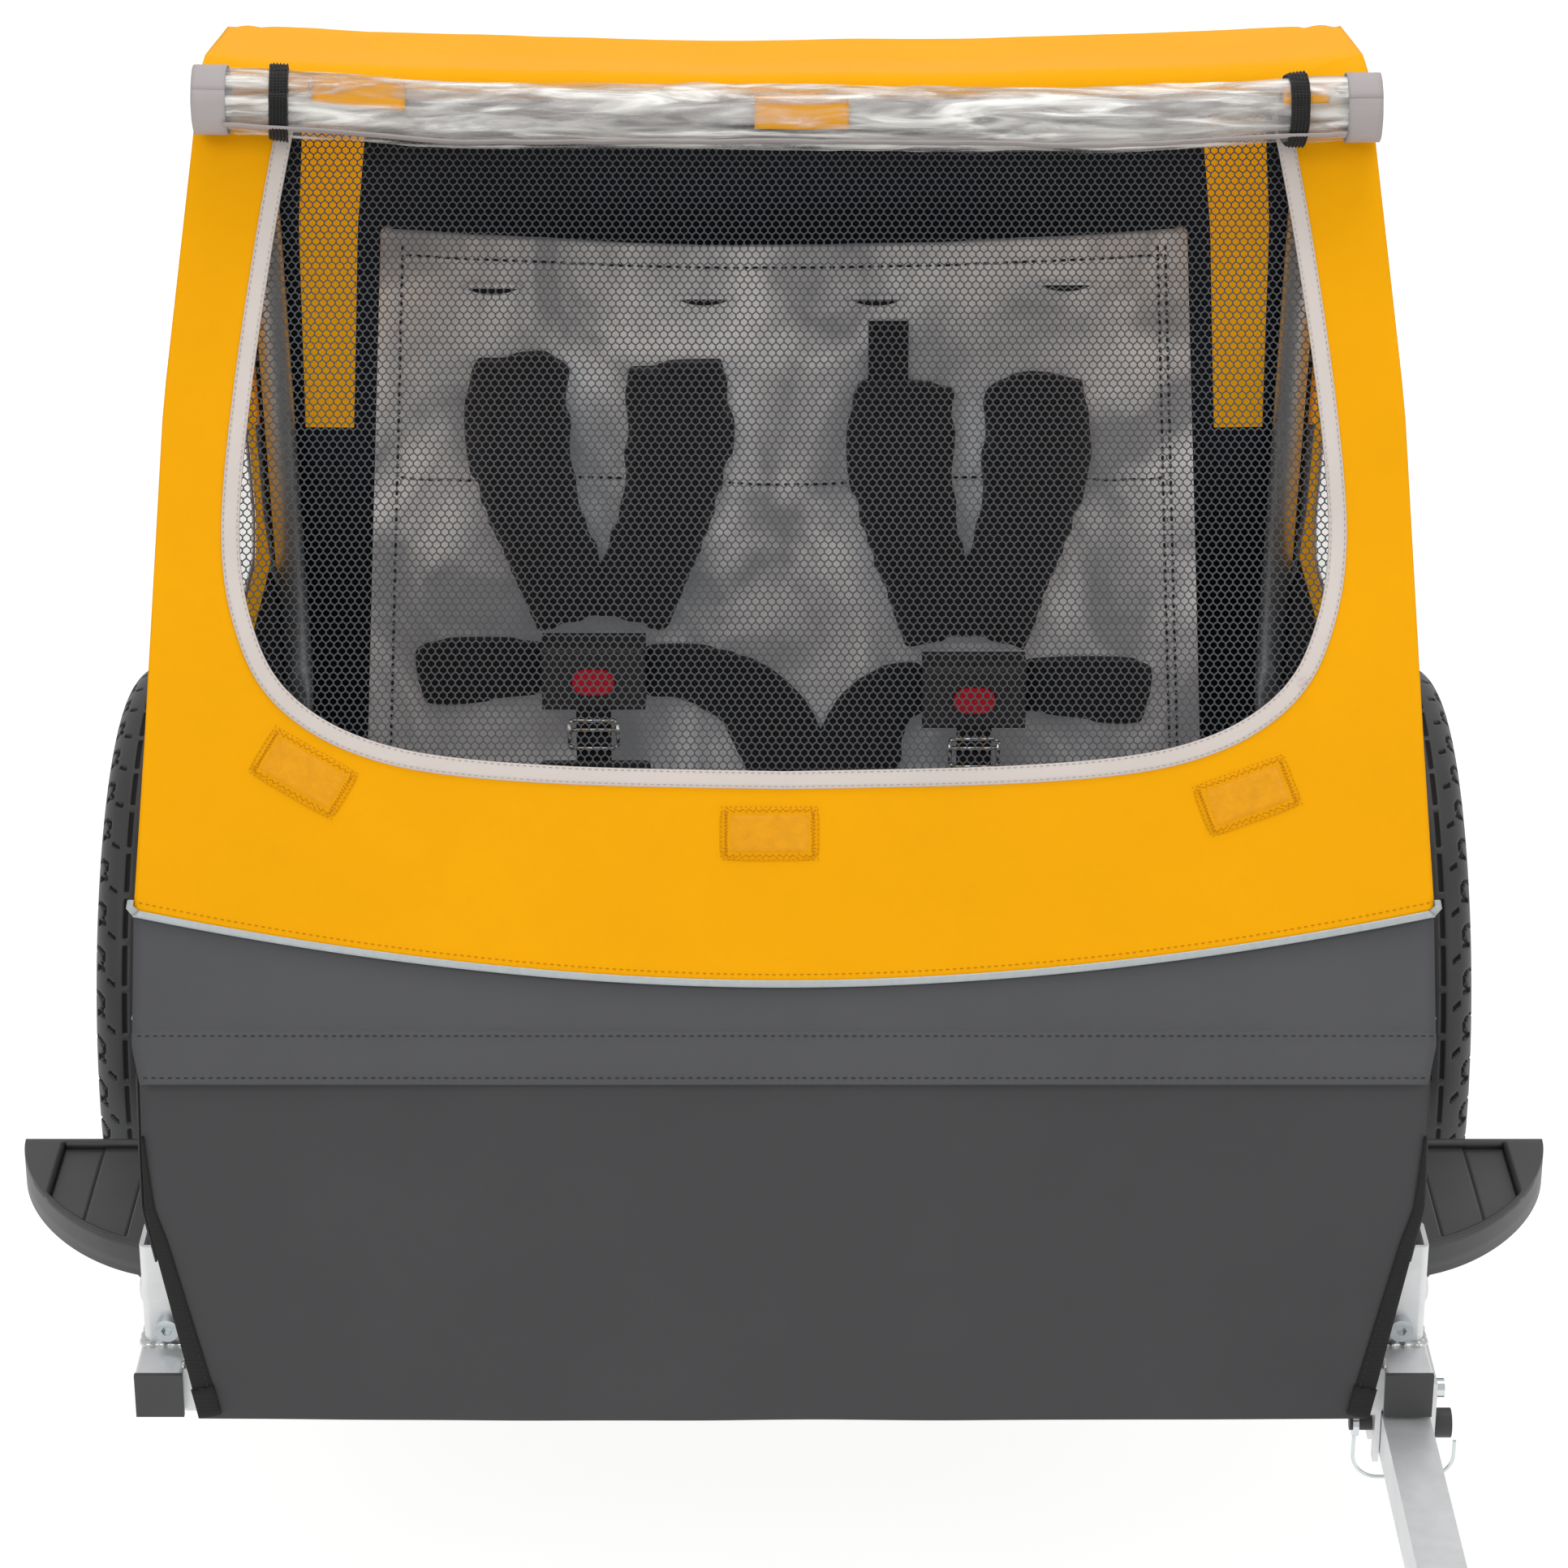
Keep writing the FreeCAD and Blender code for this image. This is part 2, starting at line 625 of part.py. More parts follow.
def make_arm():
    h = TUBE / 2
    bend = math.atan2(ARM_SWAY, ARM_BEND_1 - ARM_BEND_2)
    near = ARM_X
    far = ARM_X - ARM_SWAY
    dx = h * math.tan(bend / 2)
    outline = [
        (near - h, ARM_PIVOT_Y), (near + h, ARM_PIVOT_Y), (near + h, ARM_BEND_1 - dx),
        (far + h, ARM_BEND_2 - dx), (far + h, ARM_TIP), (far - h, ARM_TIP),
        (far - h, ARM_BEND_2 + dx), (near - h, ARM_BEND_1 + dx),
    ]
    pts = [V(x, y, ARM_Z - h) for x, y in outline]
    arm = Part.Face(Part.makePolygon(pts + pts[:1])).extrude(V(0, 0, TUBE))
    k = h - TUBE_WALL
    bore = box(near - k, near + k, ARM_BEND_1 + 30, ARM_PIVOT_Y - 14, ARM_Z - k, ARM_Z + k)
    bore_far = box(far - k, far + k, ARM_TIP + 34, ARM_BEND_2 - 12, ARM_Z - k, ARM_Z + k)
    arm = arm.fuse(rod((near - h, ARM_PIVOT_Y, ARM_Z), (near + h, ARM_PIVOT_Y, ARM_Z), h))
    arm = arm.cut(bore).cut(bore_far)
    for y in (ARM_PIVOT_Y, ARM_PIN_Y):
        arm = arm.cut(rod((near - 30, y, ARM_Z), (near + 30, y, ARM_Z), BOLT_R + RUN_FIT))
    slot = box(far - h - 1, far + h + 1, ARM_TIP - 1, ARM_TIP + 26, ARM_Z - 7, ARM_Z + 7)
    arm = arm.cut(slot)
    arm = arm.cut(rod((far, ARM_TIP + 13, ARM_Z - 20), (far, ARM_TIP + 13, ARM_Z + 20), BOLT_R))
    emit("tow_arm", arm.removeSplitter())
    make_arm_mount()
    make_hitch(far)


def arm_plate(side):
    """Side plate from the rail down past the arm, slotted from the front for the lock pin."""
    x_in = ARM_X + side * (TUBE / 2 + ARM_GAP)
    x_out = x_in + side * PLATE
    xs = sorted([x_in, x_out])
    low = ARM_Z - 17
    plate = box(xs[0], xs[1], ARM_PIN_Y - 12, ARM_PIVOT_Y + 18, low, RAIL_LOW + 16)
    plate = plate.cut(rod((xs[0] - 1, ARM_PIVOT_Y, ARM_Z), (xs[1] + 1, ARM_PIVOT_Y, ARM_Z), BOLT_R))
    return plate.cut(pin_slot(xs))


def pin_slot(xs):
    r = BOLT_R + 0.35
    hole = rod((xs[0] - 1, ARM_PIN_Y, ARM_Z), (xs[1] + 1, ARM_PIN_Y, ARM_Z), r)
    way = box(xs[0] - 1, xs[1] + 1, ARM_PIN_Y - r, ARM_PIN_Y + r + 6, ARM_Z - 30, ARM_Z)
    return hole.fuse(way)


def make_arm_mount():
    left = arm_plate(1)
    right = arm_plate(-1)
    rail_gap_out = box(RAIL_OUT, RAIL_OUT + ARM_GAP, ARM_PIN_Y - 12, ARM_PIVOT_Y + 18, RAIL_LOW + 2, RAIL_LOW + 16)
    rail_gap_in = box(RAIL_IN - ARM_GAP, RAIL_IN, ARM_PIN_Y + 20, ARM_PIVOT_Y + 18, RAIL_LOW + 2, RAIL_LOW + 16)
    inner = right.cut(box(RAIL_IN - 10, RAIL_IN, -500, -470, RAIL_LOW - 0.2, RAIL_TOP))
    emit("arm_bracket", left.fuse(rail_gap_out).removeSplitter(), inner.fuse(rail_gap_in).removeSplitter())
    out = ARM_X + TUBE / 2 + ARM_GAP + PLATE
    back = ARM_X - TUBE / 2 - ARM_GAP - PLATE
    bolt = rod((back, ARM_PIVOT_Y, ARM_Z), (out, ARM_PIVOT_Y, ARM_Z), BOLT_R)
    head = rod((out, ARM_PIVOT_Y, ARM_Z), (out + 5, ARM_PIVOT_Y, ARM_Z), 6.5)
    nut = rod((back - 6, ARM_PIVOT_Y, ARM_Z), (back, ARM_PIVOT_Y, ARM_Z), 7.0)
    plate_bolt = rod((out, ARM_PIN_Y - 4, RAIL_LOW + 9), (out + 4.5, ARM_PIN_Y - 4, RAIL_LOW + 9), 5.0)
    emit("arm_bolts", bolt.fuse([head, nut]).removeSplitter(), plate_bolt)
    shank = rod((back - 12, ARM_PIN_Y, ARM_Z), (out + 1, ARM_PIN_Y, ARM_Z), BOLT_R)
    knob = rod((out + 1, ARM_PIN_Y, ARM_Z), (out + 10, ARM_PIN_Y, ARM_Z), 8.0)
    emit("lock_pin", shank.fuse(knob).removeSplitter())
    make_bail(back - 9, out + 4)


def make_bail(x_in, x_out):
    """D-shaped wire that hangs from the pin and passes below the arm."""
    r = 1.0
    low = ARM_Z - 34
    eye_in = rod((x_in - 1.6, ARM_PIN_Y, ARM_Z), (x_in + 1.6, ARM_PIN_Y, ARM_Z), 7.2)
    eye_in = eye_in.cut(rod((x_in - 4, ARM_PIN_Y, ARM_Z), (x_in + 4, ARM_PIN_Y, ARM_Z), BOLT_R + RUN_FIT))
    top = ARM_Z - 5.5
    path = filleted_path(
        [(x_in, ARM_PIN_Y, top), (x_in, ARM_PIN_Y, low), (x_out + 9, ARM_PIN_Y, low), (x_out + 9, ARM_PIN_Y, top - 6)],
        14.0,
    )
    wire = sweep_round(path, r)
    emit("pin_bail", eye_in.fuse(wire).removeSplitter())


def make_hitch(far):
    """Swivelling tongue on a vertical bolt in the arm's fork, with a hitch-pin hole."""
    y = ARM_TIP + 13
    bolt = rod((far, y, ARM_Z - TUBE / 2), (far, y, ARM_Z + TUBE / 2), BOLT_R)
    head = rod((far, y, ARM_Z + TUBE / 2), (far, y, ARM_Z + TUBE / 2 + 1.8), 6.5)
    foot = rod((far, y, ARM_Z - TUBE / 2 - 1.8), (far, y, ARM_Z - TUBE / 2), 6.5)
    emit("hitch_bolt", bolt.fuse([head, foot]).removeSplitter())
    tongue = box(far - 9, far + 9, y - 46, y, ARM_Z - 6, ARM_Z + 6)
    tongue = tongue.fuse(rod((far, y, ARM_Z - 6), (far, y, ARM_Z + 6), 9.0))
    tongue = tongue.fuse(rod((far, y - 46, ARM_Z - 6), (far, y - 46, ARM_Z + 6), 9.0))
    tongue = tongue.cut(rod((far, y, ARM_Z - 9), (far, y, ARM_Z + 9), BOLT_R + RUN_FIT))
    tongue = tongue.cut(rod((far, y - 46, ARM_Z - 9), (far, y - 46, ARM_Z + 9), 4.2))
    emit("hitch_tongue", tongue.removeSplitter())


def main():
    os.makedirs("parts", exist_ok=True)
    make_base()
    make_brackets()
    make_hoops()
    make_front()
    make_sides()
    make_roof_and_rear()
    make_seat()
    make_tyre()
    make_rim()
    make_spokes()
    make_hubs()
    make_guards()
    make_arm()


main()
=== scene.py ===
import bisect
import math

import bmesh
import bpy
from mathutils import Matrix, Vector, noise


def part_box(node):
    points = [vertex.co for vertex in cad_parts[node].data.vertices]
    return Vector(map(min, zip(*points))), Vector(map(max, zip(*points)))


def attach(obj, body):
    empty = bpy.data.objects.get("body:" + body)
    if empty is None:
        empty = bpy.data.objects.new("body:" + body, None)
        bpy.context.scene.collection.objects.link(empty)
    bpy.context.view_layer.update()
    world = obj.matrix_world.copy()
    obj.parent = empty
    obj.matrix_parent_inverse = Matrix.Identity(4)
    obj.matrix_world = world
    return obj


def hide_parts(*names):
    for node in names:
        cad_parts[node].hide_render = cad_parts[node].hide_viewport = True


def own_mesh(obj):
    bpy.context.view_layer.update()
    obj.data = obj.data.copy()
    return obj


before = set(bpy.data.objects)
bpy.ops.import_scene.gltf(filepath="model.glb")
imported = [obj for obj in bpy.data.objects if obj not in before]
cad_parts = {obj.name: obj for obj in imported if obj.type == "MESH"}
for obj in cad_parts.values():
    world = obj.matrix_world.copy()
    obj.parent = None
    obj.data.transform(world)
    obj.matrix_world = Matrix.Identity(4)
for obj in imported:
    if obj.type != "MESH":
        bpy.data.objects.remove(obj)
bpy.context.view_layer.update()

SCENE = bpy.context.scene
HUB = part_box("hub_left")
AXLE_Y = (HUB[0][1] + HUB[1][1]) / 2
ROOT = "chassis"


# ------------------------------------------------------------------ camera, light, floor

LENS = 102.4  # mm, for a picture 36 mm wide
CAMERA_BACK = 2.530  # metres from the axle towards the viewer
CAMERA_HEIGHT = 1.453
CAMERA_DOWN = 23.95  # degrees below the horizontal


def make_camera():
    data = bpy.data.cameras.new("camera")
    data.lens = LENS
    data.sensor_width = 36.0
    cam = bpy.data.objects.new("camera", data)
    cam.location = (0.0, AXLE_Y - CAMERA_BACK, CAMERA_HEIGHT)
    cam.rotation_euler = (math.radians(90 - CAMERA_DOWN), 0, 0)
    SCENE.collection.objects.link(cam)
    SCENE.camera = cam


def area_light(name, place, aim, size, power):
    data = bpy.data.lights.new(name, "AREA")
    data.shape = "RECTANGLE"
    data.size, data.size_y = size
    data.energy = power
    lamp = bpy.data.objects.new(name, data)
    lamp.location = place
    lamp.rotation_euler = (Vector(aim) - Vector(place)).to_track_quat("-Z", "Y").to_euler()
    SCENE.collection.objects.link(lamp)


def make_world():
    SCENE.view_settings.view_transform = "Standard"
    world = bpy.data.worlds.new("studio")
    world.use_nodes = True
    put(world.node_tree.nodes["Background"], Color=(1.0, 1.0, 0.985, 1), Strength=0.72)
    SCENE.world = world
    area_light("key", (-1.6, -2.6, 2.9), (0, 0.2, 0.45), (1.6, 1.2), 26)
    area_light("fill", (2.2, -1.6, 1.6), (0, 0.2, 0.4), (1.2, 1.2), 8)
    area_light("top", (0.2, 0.6, 3.0), (0, 0.3, 0.5), (1.8, 1.0), 24)
    bpy.ops.mesh.primitive_plane_add(size=14, location=(0, 0, -0.0006))
    floor = bpy.context.object
    floor.name = "floor"
    mat = principled("floor", (0.22, 0.22, 0.215), 0.9)[0]
    floor.data.materials.append(glowing(mat, (1, 1, 0.985), 0.90))


# ------------------------------------------------------------------ materials

def put(node, **values):
    """Sets a node's inputs. An underscore stands for a space in an input's name."""
    for key, value in values.items():
        node.inputs[key.replace("_", " ")].default_value = value


def principled(name, color, rough, **more):
    mat = bpy.data.materials.new(name)
    mat.use_nodes = True
    shade = mat.node_tree.nodes["Principled BSDF"]
    put(shade, Base_Color=(*color, 1), Roughness=rough, **more)
    return mat, mat.node_tree, shade


def texture_coords(tree):
    return tree.nodes.new("ShaderNodeTexCoord").outputs["Object"]


def noise_node(tree, scale, detail=3.0, rough=0.5, distortion=0.0, vector=None):
    node = tree.nodes.new("ShaderNodeTexNoise")
    put(node, Scale=scale, Detail=detail, Roughness=rough, Distortion=distortion)
    if vector is None:
        vector = texture_coords(tree)
    tree.links.new(vector, node.inputs["Vector"])
    return node.outputs["Fac"]


def wave_node(tree, scale, direction):
    node = tree.nodes.new("ShaderNodeTexWave")
    node.wave_type = "BANDS"
    node.bands_direction = direction
    put(node, Scale=scale, Distortion=0.4, Detail_Scale=2.0)
    tree.links.new(texture_coords(tree), node.inputs["Vector"])
    return node.outputs["Fac"]


def blend_colour(tree, shade, fac, dark, light, low=0.3, high=0.7):
    ramp = tree.nodes.new("ShaderNodeValToRGB")
    ramp.color_ramp.elements[0].position = low
    ramp.color_ramp.elements[0].color = (*dark, 1)
    ramp.color_ramp.elements[1].position = high
    ramp.color_ramp.elements[1].color = (*light, 1)
    tree.links.new(fac, ramp.inputs["Fac"])
    tree.links.new(ramp.outputs["Color"], shade.inputs["Base Color"])


def math_node(tree, kind, a, b):
    node = tree.nodes.new("ShaderNodeMath")
    node.operation = kind
    for i, value in enumerate((a, b)):
        if isinstance(value, (int, float)):
            node.inputs[i].default_value = value
        else:
            tree.links.new(value, node.inputs[i])
    return node.outputs[0]


def bump(tree, shade, height, strength, distance):
    node = tree.nodes.new("ShaderNodeBump")
    put(node, Strength=strength, Distance=distance)
    tree.links.new(height, node.inputs["Height"])
    tree.links.new(node.outputs["Normal"], shade.inputs["Normal"])


def shades(color, spread):
    return tuple(c * (1 - spread) for c in color), tuple(min(1, c * (1 + spread)) for c in color)


def cloth_material(name, color, weave=900.0, rough=0.62, sheen=0.03, spread=0.05, gloss=0.16):
    mat, tree, shade = principled(
        name, color, rough, Sheen_Weight=sheen, Sheen_Roughness=0.5, Specular_IOR_Level=gloss
    )
    dark, light = shades(color, spread)
    blend_colour(tree, shade, noise_node(tree, 9.0, 5.0, 0.6), dark, light)
    weft = math_node(tree, "ADD", wave_node(tree, weave, "X"), wave_node(tree, weave, "Z"))
    soft = math_node(tree, "MULTIPLY", noise_node(tree, 26.0, 4.0), 3.0)
    bump(tree, shade, math_node(tree, "ADD", weft, soft), 0.55, 0.00012)
    return mat


def glowing(mat, color, strength):
    """Makes a material give off some light. On the linings and the seat this glow is painted light, standing
    in for the daylight that reaches thin cloth; on the floor it keeps the floor evenly bright.
    """
    shade = mat.node_tree.nodes["Principled BSDF"]
    put(shade, Emission_Color=(*color, 1), Emission_Strength=strength)
    return mat


def seat_material():
    """Shiny grey nylon with painted light and painted shade on its folds, and a faint painted glow."""
    mat = cloth_material("seat_cloth", (0.36, 0.36, 0.365), weave=620.0, rough=0.42, sheen=0.05, gloss=0.55)
    tree = mat.node_tree
    shade = tree.nodes["Principled BSDF"]
    # painted highlights and painted shade: broad noise lightens and darkens the cloth as if its folds caught
    # or lost light
    fold = noise_node(tree, 8.5, 4.0, distortion=1.6)
    blend_colour(tree, shade, fold, (0.26, 0.26, 0.27), (0.88, 0.88, 0.90), 0.38, 0.66)
    # painted light: a faint bluish glow brightens the seat inside the cabin
    return glowing(mat, (0.86, 0.90, 0.97), 0.065)


def knit_material(name, color, spread=0.35):
    mat, tree, shade = principled(
        name, color, 0.9, Sheen_Weight=0.12, Sheen_Roughness=0.6, Specular_IOR_Level=0.2
    )
    dark, light = shades(color, spread)
    blend_colour(tree, shade, noise_node(tree, 140.0, 6.0, 0.7), dark, light)
    grain = math_node(tree, "ADD", noise_node(tree, 700.0, 2.0), wave_node(tree, 420.0, "DIAGONAL"))
    bump(tree, shade, grain, 0.7, 0.0004)
    return mat


def webbing_material(name, color):
    mat, tree, shade = principled(name, color, 0.7, Sheen_Weight=0.05, Specular_IOR_Level=0.25)
    dark, light = shades(color, 0.3)
    blend_colour(tree, shade, wave_node(tree, 260.0, "Z"), dark, light)
    bump(tree, shade, wave_node(tree, 260.0, "Z"), 0.8, 0.0003)
    return mat


def metal_material(name, color, rough, metallic=1.0, grain=60.0):
    mat, tree, shade = principled(name, color, rough, Metallic=metallic)
    dark, light = shades(color, 0.06)
    blend_colour(tree, shade, noise_node(tree, grain, 4.0, 0.6), dark, light)
    bump(tree, shade, noise_node(tree, 900.0, 3.0), 0.25, 0.00005)
    return mat


def plastic_material(name, color, rough, grain=650.0, depth=0.00012):
    mat, tree, shade = principled(name, color, rough, Specular_IOR_Level=0.4)
    dark, light = shades(color, 0.10)
    blend_colour(tree, shade, noise_node(tree, 22.0, 5.0, 0.6), dark, light)
    bump(tree, shade, noise_node(tree, grain, 3.0), 0.5, depth)
    return mat


def film_material(name, clear, cloudy, seed):
    """Crumpled clear film: long streaks of painted highlight, painted grey shade in the folds, and clear
    gaps.
    """
    mat, tree, shade = principled(name, (0.5, 0.5, 0.5), 0.08, Specular_IOR_Level=0.7, Coat_Weight=0.3)
    shift = tree.nodes.new("ShaderNodeMapping")
    put(shift, Location=(seed, seed * 0.7, seed * 0.4), Scale=(1.0, 7.0, 7.0))
    tree.links.new(texture_coords(tree), shift.inputs["Vector"])
    streak = noise_node(tree, 17.0, 5.0, distortion=0.8, vector=shift.outputs["Vector"])
    # painted reflections: the streaks run from grey painted shade to white painted highlight
    blend_colour(tree, shade, streak, (0.26, 0.25, 0.26), (1.0, 0.99, 0.96), 0.40, 0.62)
    ramp = tree.nodes.new("ShaderNodeMapRange")
    put(ramp, From_Min=0.40, From_Max=0.70, To_Min=clear, To_Max=cloudy)
    tree.links.new(streak, ramp.inputs["Value"])
    tree.links.new(ramp.outputs["Result"], shade.inputs["Alpha"])
    bump(tree, shade, streak, 0.8, 0.004)
    return mat


def clear_material(name, color, alpha, crumple):
    mat, tree, shade = principled(
        name, color, 0.07, Alpha=alpha, Specular_IOR_Level=0.9, Coat_Weight=0.6, Coat_Roughness=0.05
    )
    height = math_node(tree, "ADD", noise_node(tree, 34.0, 5.0, 0.65), noise_node(tree, 120.0, 2.0))
    bump(tree, shade, height, crumple, 0.004)
    return mat


def make_materials():
    yellow = (0.905, 0.395, 0.0)
    return {
        "yellow": cloth_material("yellow_cloth", yellow, rough=0.55, sheen=0.0, spread=0.03, gloss=0.07),
        # painted light: the yellow lining glows, standing in for daylight shining through the yellow cloth
        "yellow_in_painted_glow": glowing(
            cloth_material("yellow_lining_painted_glow", (0.95, 0.42, 0.002), rough=0.75), (0.95, 0.43, 0.002), 0.30
        ),
        "coated": cloth_material("coated_inside", (0.42, 0.43, 0.44), rough=0.5),
        "flap": cloth_material("grey_flap", (0.088, 0.089, 0.095), rough=0.58),
        "panel": cloth_material("dark_panel", (0.062, 0.062, 0.066), weave=700.0, rough=0.66),
        "navy": cloth_material("navy_lining", (0.012, 0.017, 0.026), rough=0.8),
        "seat": seat_material(),
        "binding": cloth_material("window_binding", (0.68, 0.61, 0.575), weave=1100.0, rough=0.7),
        "roll_binding": cloth_material("roll_binding", (0.43, 0.39, 0.395), weave=1100.0, rough=0.7,
                                       spread=0.07),
        "black_binding": webbing_material("black_binding", (0.012, 0.012, 0.012)),
        "piping": metal_material("reflective_piping", (0.40, 0.43, 0.44), 0.45, 0.2, 300.0),
        "stitch_yellow": cloth_material("stitch_yellow", (0.55, 0.22, 0.004), rough=0.8),
        "stitch_grey": cloth_material("stitch_grey", (0.03, 0.03, 0.033), rough=0.8),
        "stitch_dark": cloth_material("stitch_dark", (0.035, 0.035, 0.037), rough=0.7),
        "stitch_pale": cloth_material("stitch_pale", (0.42, 0.38, 0.38), rough=0.8),
        "fuzz": knit_material("hook_fuzz", (0.84, 0.35, 0.001), 0.10),
        "pad": knit_material("pad_knit", (0.0115, 0.0118, 0.0145)),
        "webbing": webbing_material("webbing", (0.010, 0.010, 0.012)),
        "mesh": cloth_material("mesh_thread", (0.070, 0.074, 0.082), rough=0.6, spread=0.1),
        "vinyl": film_material("clear_vinyl_roll", 0.10, 0.80, 0.0),
        "vinyl_core": film_material("clear_vinyl_core", 0.16, 0.62, 3.7),
        "pane": clear_material("clear_pane", (0.82, 0.86, 0.88), 0.20, 0.10),
        "elastic": webbing_material("elastic", (0.018, 0.018, 0.018)),
        "silver": metal_material("silver_frame", (0.70, 0.71, 0.725), 0.38, 0.55),
        "zinc": metal_material("zinc", (0.62, 0.66, 0.68), 0.22, 1.0),
        "weld": metal_material("weld", (0.60, 0.61, 0.60), 0.30, 0.9, 400.0),
        "alu": metal_material("aluminium", (0.62, 0.63, 0.64), 0.30, 1.0),
        "black": plastic_material("black_plastic", (0.043, 0.043, 0.045), 0.50),
        "guard": plastic_material("guard_plastic", (0.060, 0.060, 0.064), 0.46, 420.0, 0.00018),
        "nylon": plastic_material("nylon", (0.62, 0.62, 0.60), 0.45),
        "red": plastic_material("red_button", (0.70, 0.02, 0.045), 0.3),
        "tyre": plastic_material("tyre_rubber", (0.036, 0.037, 0.039), 0.50, 500.0, 0.0002),
        # painted shade: near-black rubber for the faces inside the tread's grooves
        "groove": plastic_material("tyre_groove_painted_shade", (0.004, 0.004, 0.0045), 0.8),
    }


MAT = {}
FORWARD = Vector((0, -1, 0))


def letter(sign):
    return "l" if sign > 0 else "r"


# ------------------------------------------------------------------ mesh helpers

def make_object(name, verts, faces, mats, face_mats=None, smooth=True):
    mesh = bpy.data.meshes.new(name)
    mesh.from_pydata([tuple(v) for v in verts], [], faces)
    obj = bpy.data.objects.new(name, mesh)
    SCENE.collection.objects.link(obj)
    for m in mats if isinstance(mats, (list, tuple)) else [mats]:
        mesh.materials.append(MAT[m])
    if face_mats:
        mesh.polygons.foreach_set("material_index", face_mats)
    if smooth:
        mesh.polygons.foreach_set("use_smooth", [True] * len(mesh.polygons))
    mesh.update()
    return obj


def apply_modifiers(obj):
    graph = bpy.context.evaluated_depsgraph_get()
    mesh = bpy.data.meshes.new_from_object(obj.evaluated_get(graph))
    obj.modifiers.clear()
    old = obj.data
    obj.data = mesh
    bpy.data.meshes.remove(old)
    return obj


def solidify(obj, thickness, offset=-1.0):
    mod = obj.modifiers.new("cloth", "SOLIDIFY")
    mod.thickness = thickness
    mod.offset = offset
    return apply_modifiers(obj)


def lattice(rows, columns, wrap_rows=False, wrap_columns=False, turned=False):
    """Quads between neighbouring points that are numbered row by row."""
    faces = []
    for i in range(rows if wrap_rows else rows - 1):
        a = i * columns
        b = (i + 1) % rows * columns
        for k in range(columns if wrap_columns else columns - 1):
            m = (k + 1) % columns
            faces.append((a + k, b + k, b + m, a + m) if turned else (a + k, a + m, b + m, b + k))
    return faces


def heading(pts, i, closed):
    """Direction of a line of points at one of them."""
    before = pts[i - 1] if i or closed else pts[i]
    after = pts[(i + 1) % len(pts)] if i < len(pts) - 1 or closed else pts[i]
    return (after - before).normalized()


def grid_object(name, us, vs, place, mats, pick=None, thickness=0.0, offset=-1.0):
    """Sheet of quads over the two lists of parameters. pick(u, v) gives a quad's material index."""
    verts = [place(u, v) for v in vs for u in us]
    chosen = None
    if pick:
        chosen = [pick((a + b) / 2, (c + d) / 2) for c, d in zip(vs, vs[1:]) for a, b in zip(us, us[1:])]
    obj = make_object(name, verts, lattice(len(vs), len(us)), mats, chosen)
    return solidify(obj, thickness, offset) if thickness else obj


def spaced(a, b, n):
    return [a + (b - a) * i / n for i in range(n + 1)]


def tube_object(name, centres, radius, mat, sides, closed=False):
    """Round section carried along the points."""
    pts = [Vector(p) for p in centres]
    n = len(pts)
    verts = []
    up = Vector((0, 0, 1))
    for i, p in enumerate(pts):
        along = heading(pts, i, closed)
        side = along.cross(up)
        if side.length < 0.05:
            side = along.cross(Vector((0, 1, 0)))
        side.normalize()
        top = side.cross(along).normalized()
        for k in range(sides):
            t = 2 * math.pi * k / sides
            verts.append(p + side * (radius * math.cos(t)) + top * (radius * math.sin(t)))
    faces = lattice(n, sides, closed, True)
    if not closed:
        faces.append(tuple(range(sides))[::-1])
        faces.append(tuple(range((n - 1) * sides, n * sides)))
    return make_object(name, verts, faces, mat)


def ribbon_object(name, path, normals, width, thick, mat, closed=False):
    """Flat folded tape along the path, lying across the given normals.
    width may be a function of the share of the length."""
    pts = [Vector(p) for p in path]
    n = len(pts)
    verts = []
    shape = [(-0.5, 0.0), (-0.46, 0.9), (-0.2, 1.0), (0.2, 1.0), (0.46, 0.9), (0.5, 0.0)]
    for i, p in enumerate(pts):
        along = heading(pts, i, closed)
        up = Vector(normals[i]).normalized()
        side = along.cross(up).normalized()
        w = width(i / max(1, n - 1)) if callable(width) else width
        for a, b in shape:
            verts.append(p + side * (a * w) + up * (b * thick))
    m = len(shape)
    faces = lattice(n, m, closed, True, turned=True)
    if not closed:
        faces.append(tuple(range(m)))
        faces.append(tuple(range((n - 1) * m, n * m))[::-1])
    return make_object(name, verts, faces, mat)


def walk(path, pitch):
    """Points and directions every pitch along a polyline."""
    out = []
    left = pitch / 2
    for a, b in zip(path, path[1:]):
        a, b = Vector(a), Vector(b)
        size = (b - a).length
        while left <= size and size > 0:
            out.append((a.lerp(b, left / size), (b - a).normalized()))
            left += pitch
        left -= size
    return out


def stitch_object(name, lines, mat, pitch=0.0042, length=0.0027, width=0.0007):
    """Row of thread stitches along each line of (point, normal)."""
    verts = []
    faces = []
    for line in lines:
        path = [p for p, _ in line]
        up = [Vector(n).normalized() for _, n in line]
        steps = walk(path, pitch)
        total = max(1, len(steps) - 1)
        for i, (p, along) in enumerate(steps):
            n = up[min(len(up) - 1, round(i / total * (len(up) - 1)))]
            side = along.cross(n).normalized()
            a = along * (length / 2)
            s = side * (width / 2)
            t = n * (width * 0.55)
            k = len(verts)
            verts += [p - a, p - a * 0.5 + s, p + a * 0.5 + s, p + a, p + a * 0.5 - s, p - a * 0.5 - s]
            verts += [p - a * 0.45 + t, p + a * 0.45 + t]
            for f in ((0, 1, 6), (1, 2, 7, 6), (2, 3, 7), (3, 4, 7), (4, 5, 6, 7), (5, 0, 6)):
                faces.append(tuple(k + j for j in f))
    return make_object(name, verts, faces, mat, smooth=False)


def ripple(p, scale, depth, seed=0.0):
    """Smooth unevenness of cloth, the same at every run."""
    v = Vector(p) * scale + Vector((seed, seed * 1.7, seed * 0.3))
    return (noise.noise(v) + 0.5 * noise.noise(v * 2.1)) * depth


# ------------------------------------------------------------------ the cabin's surface

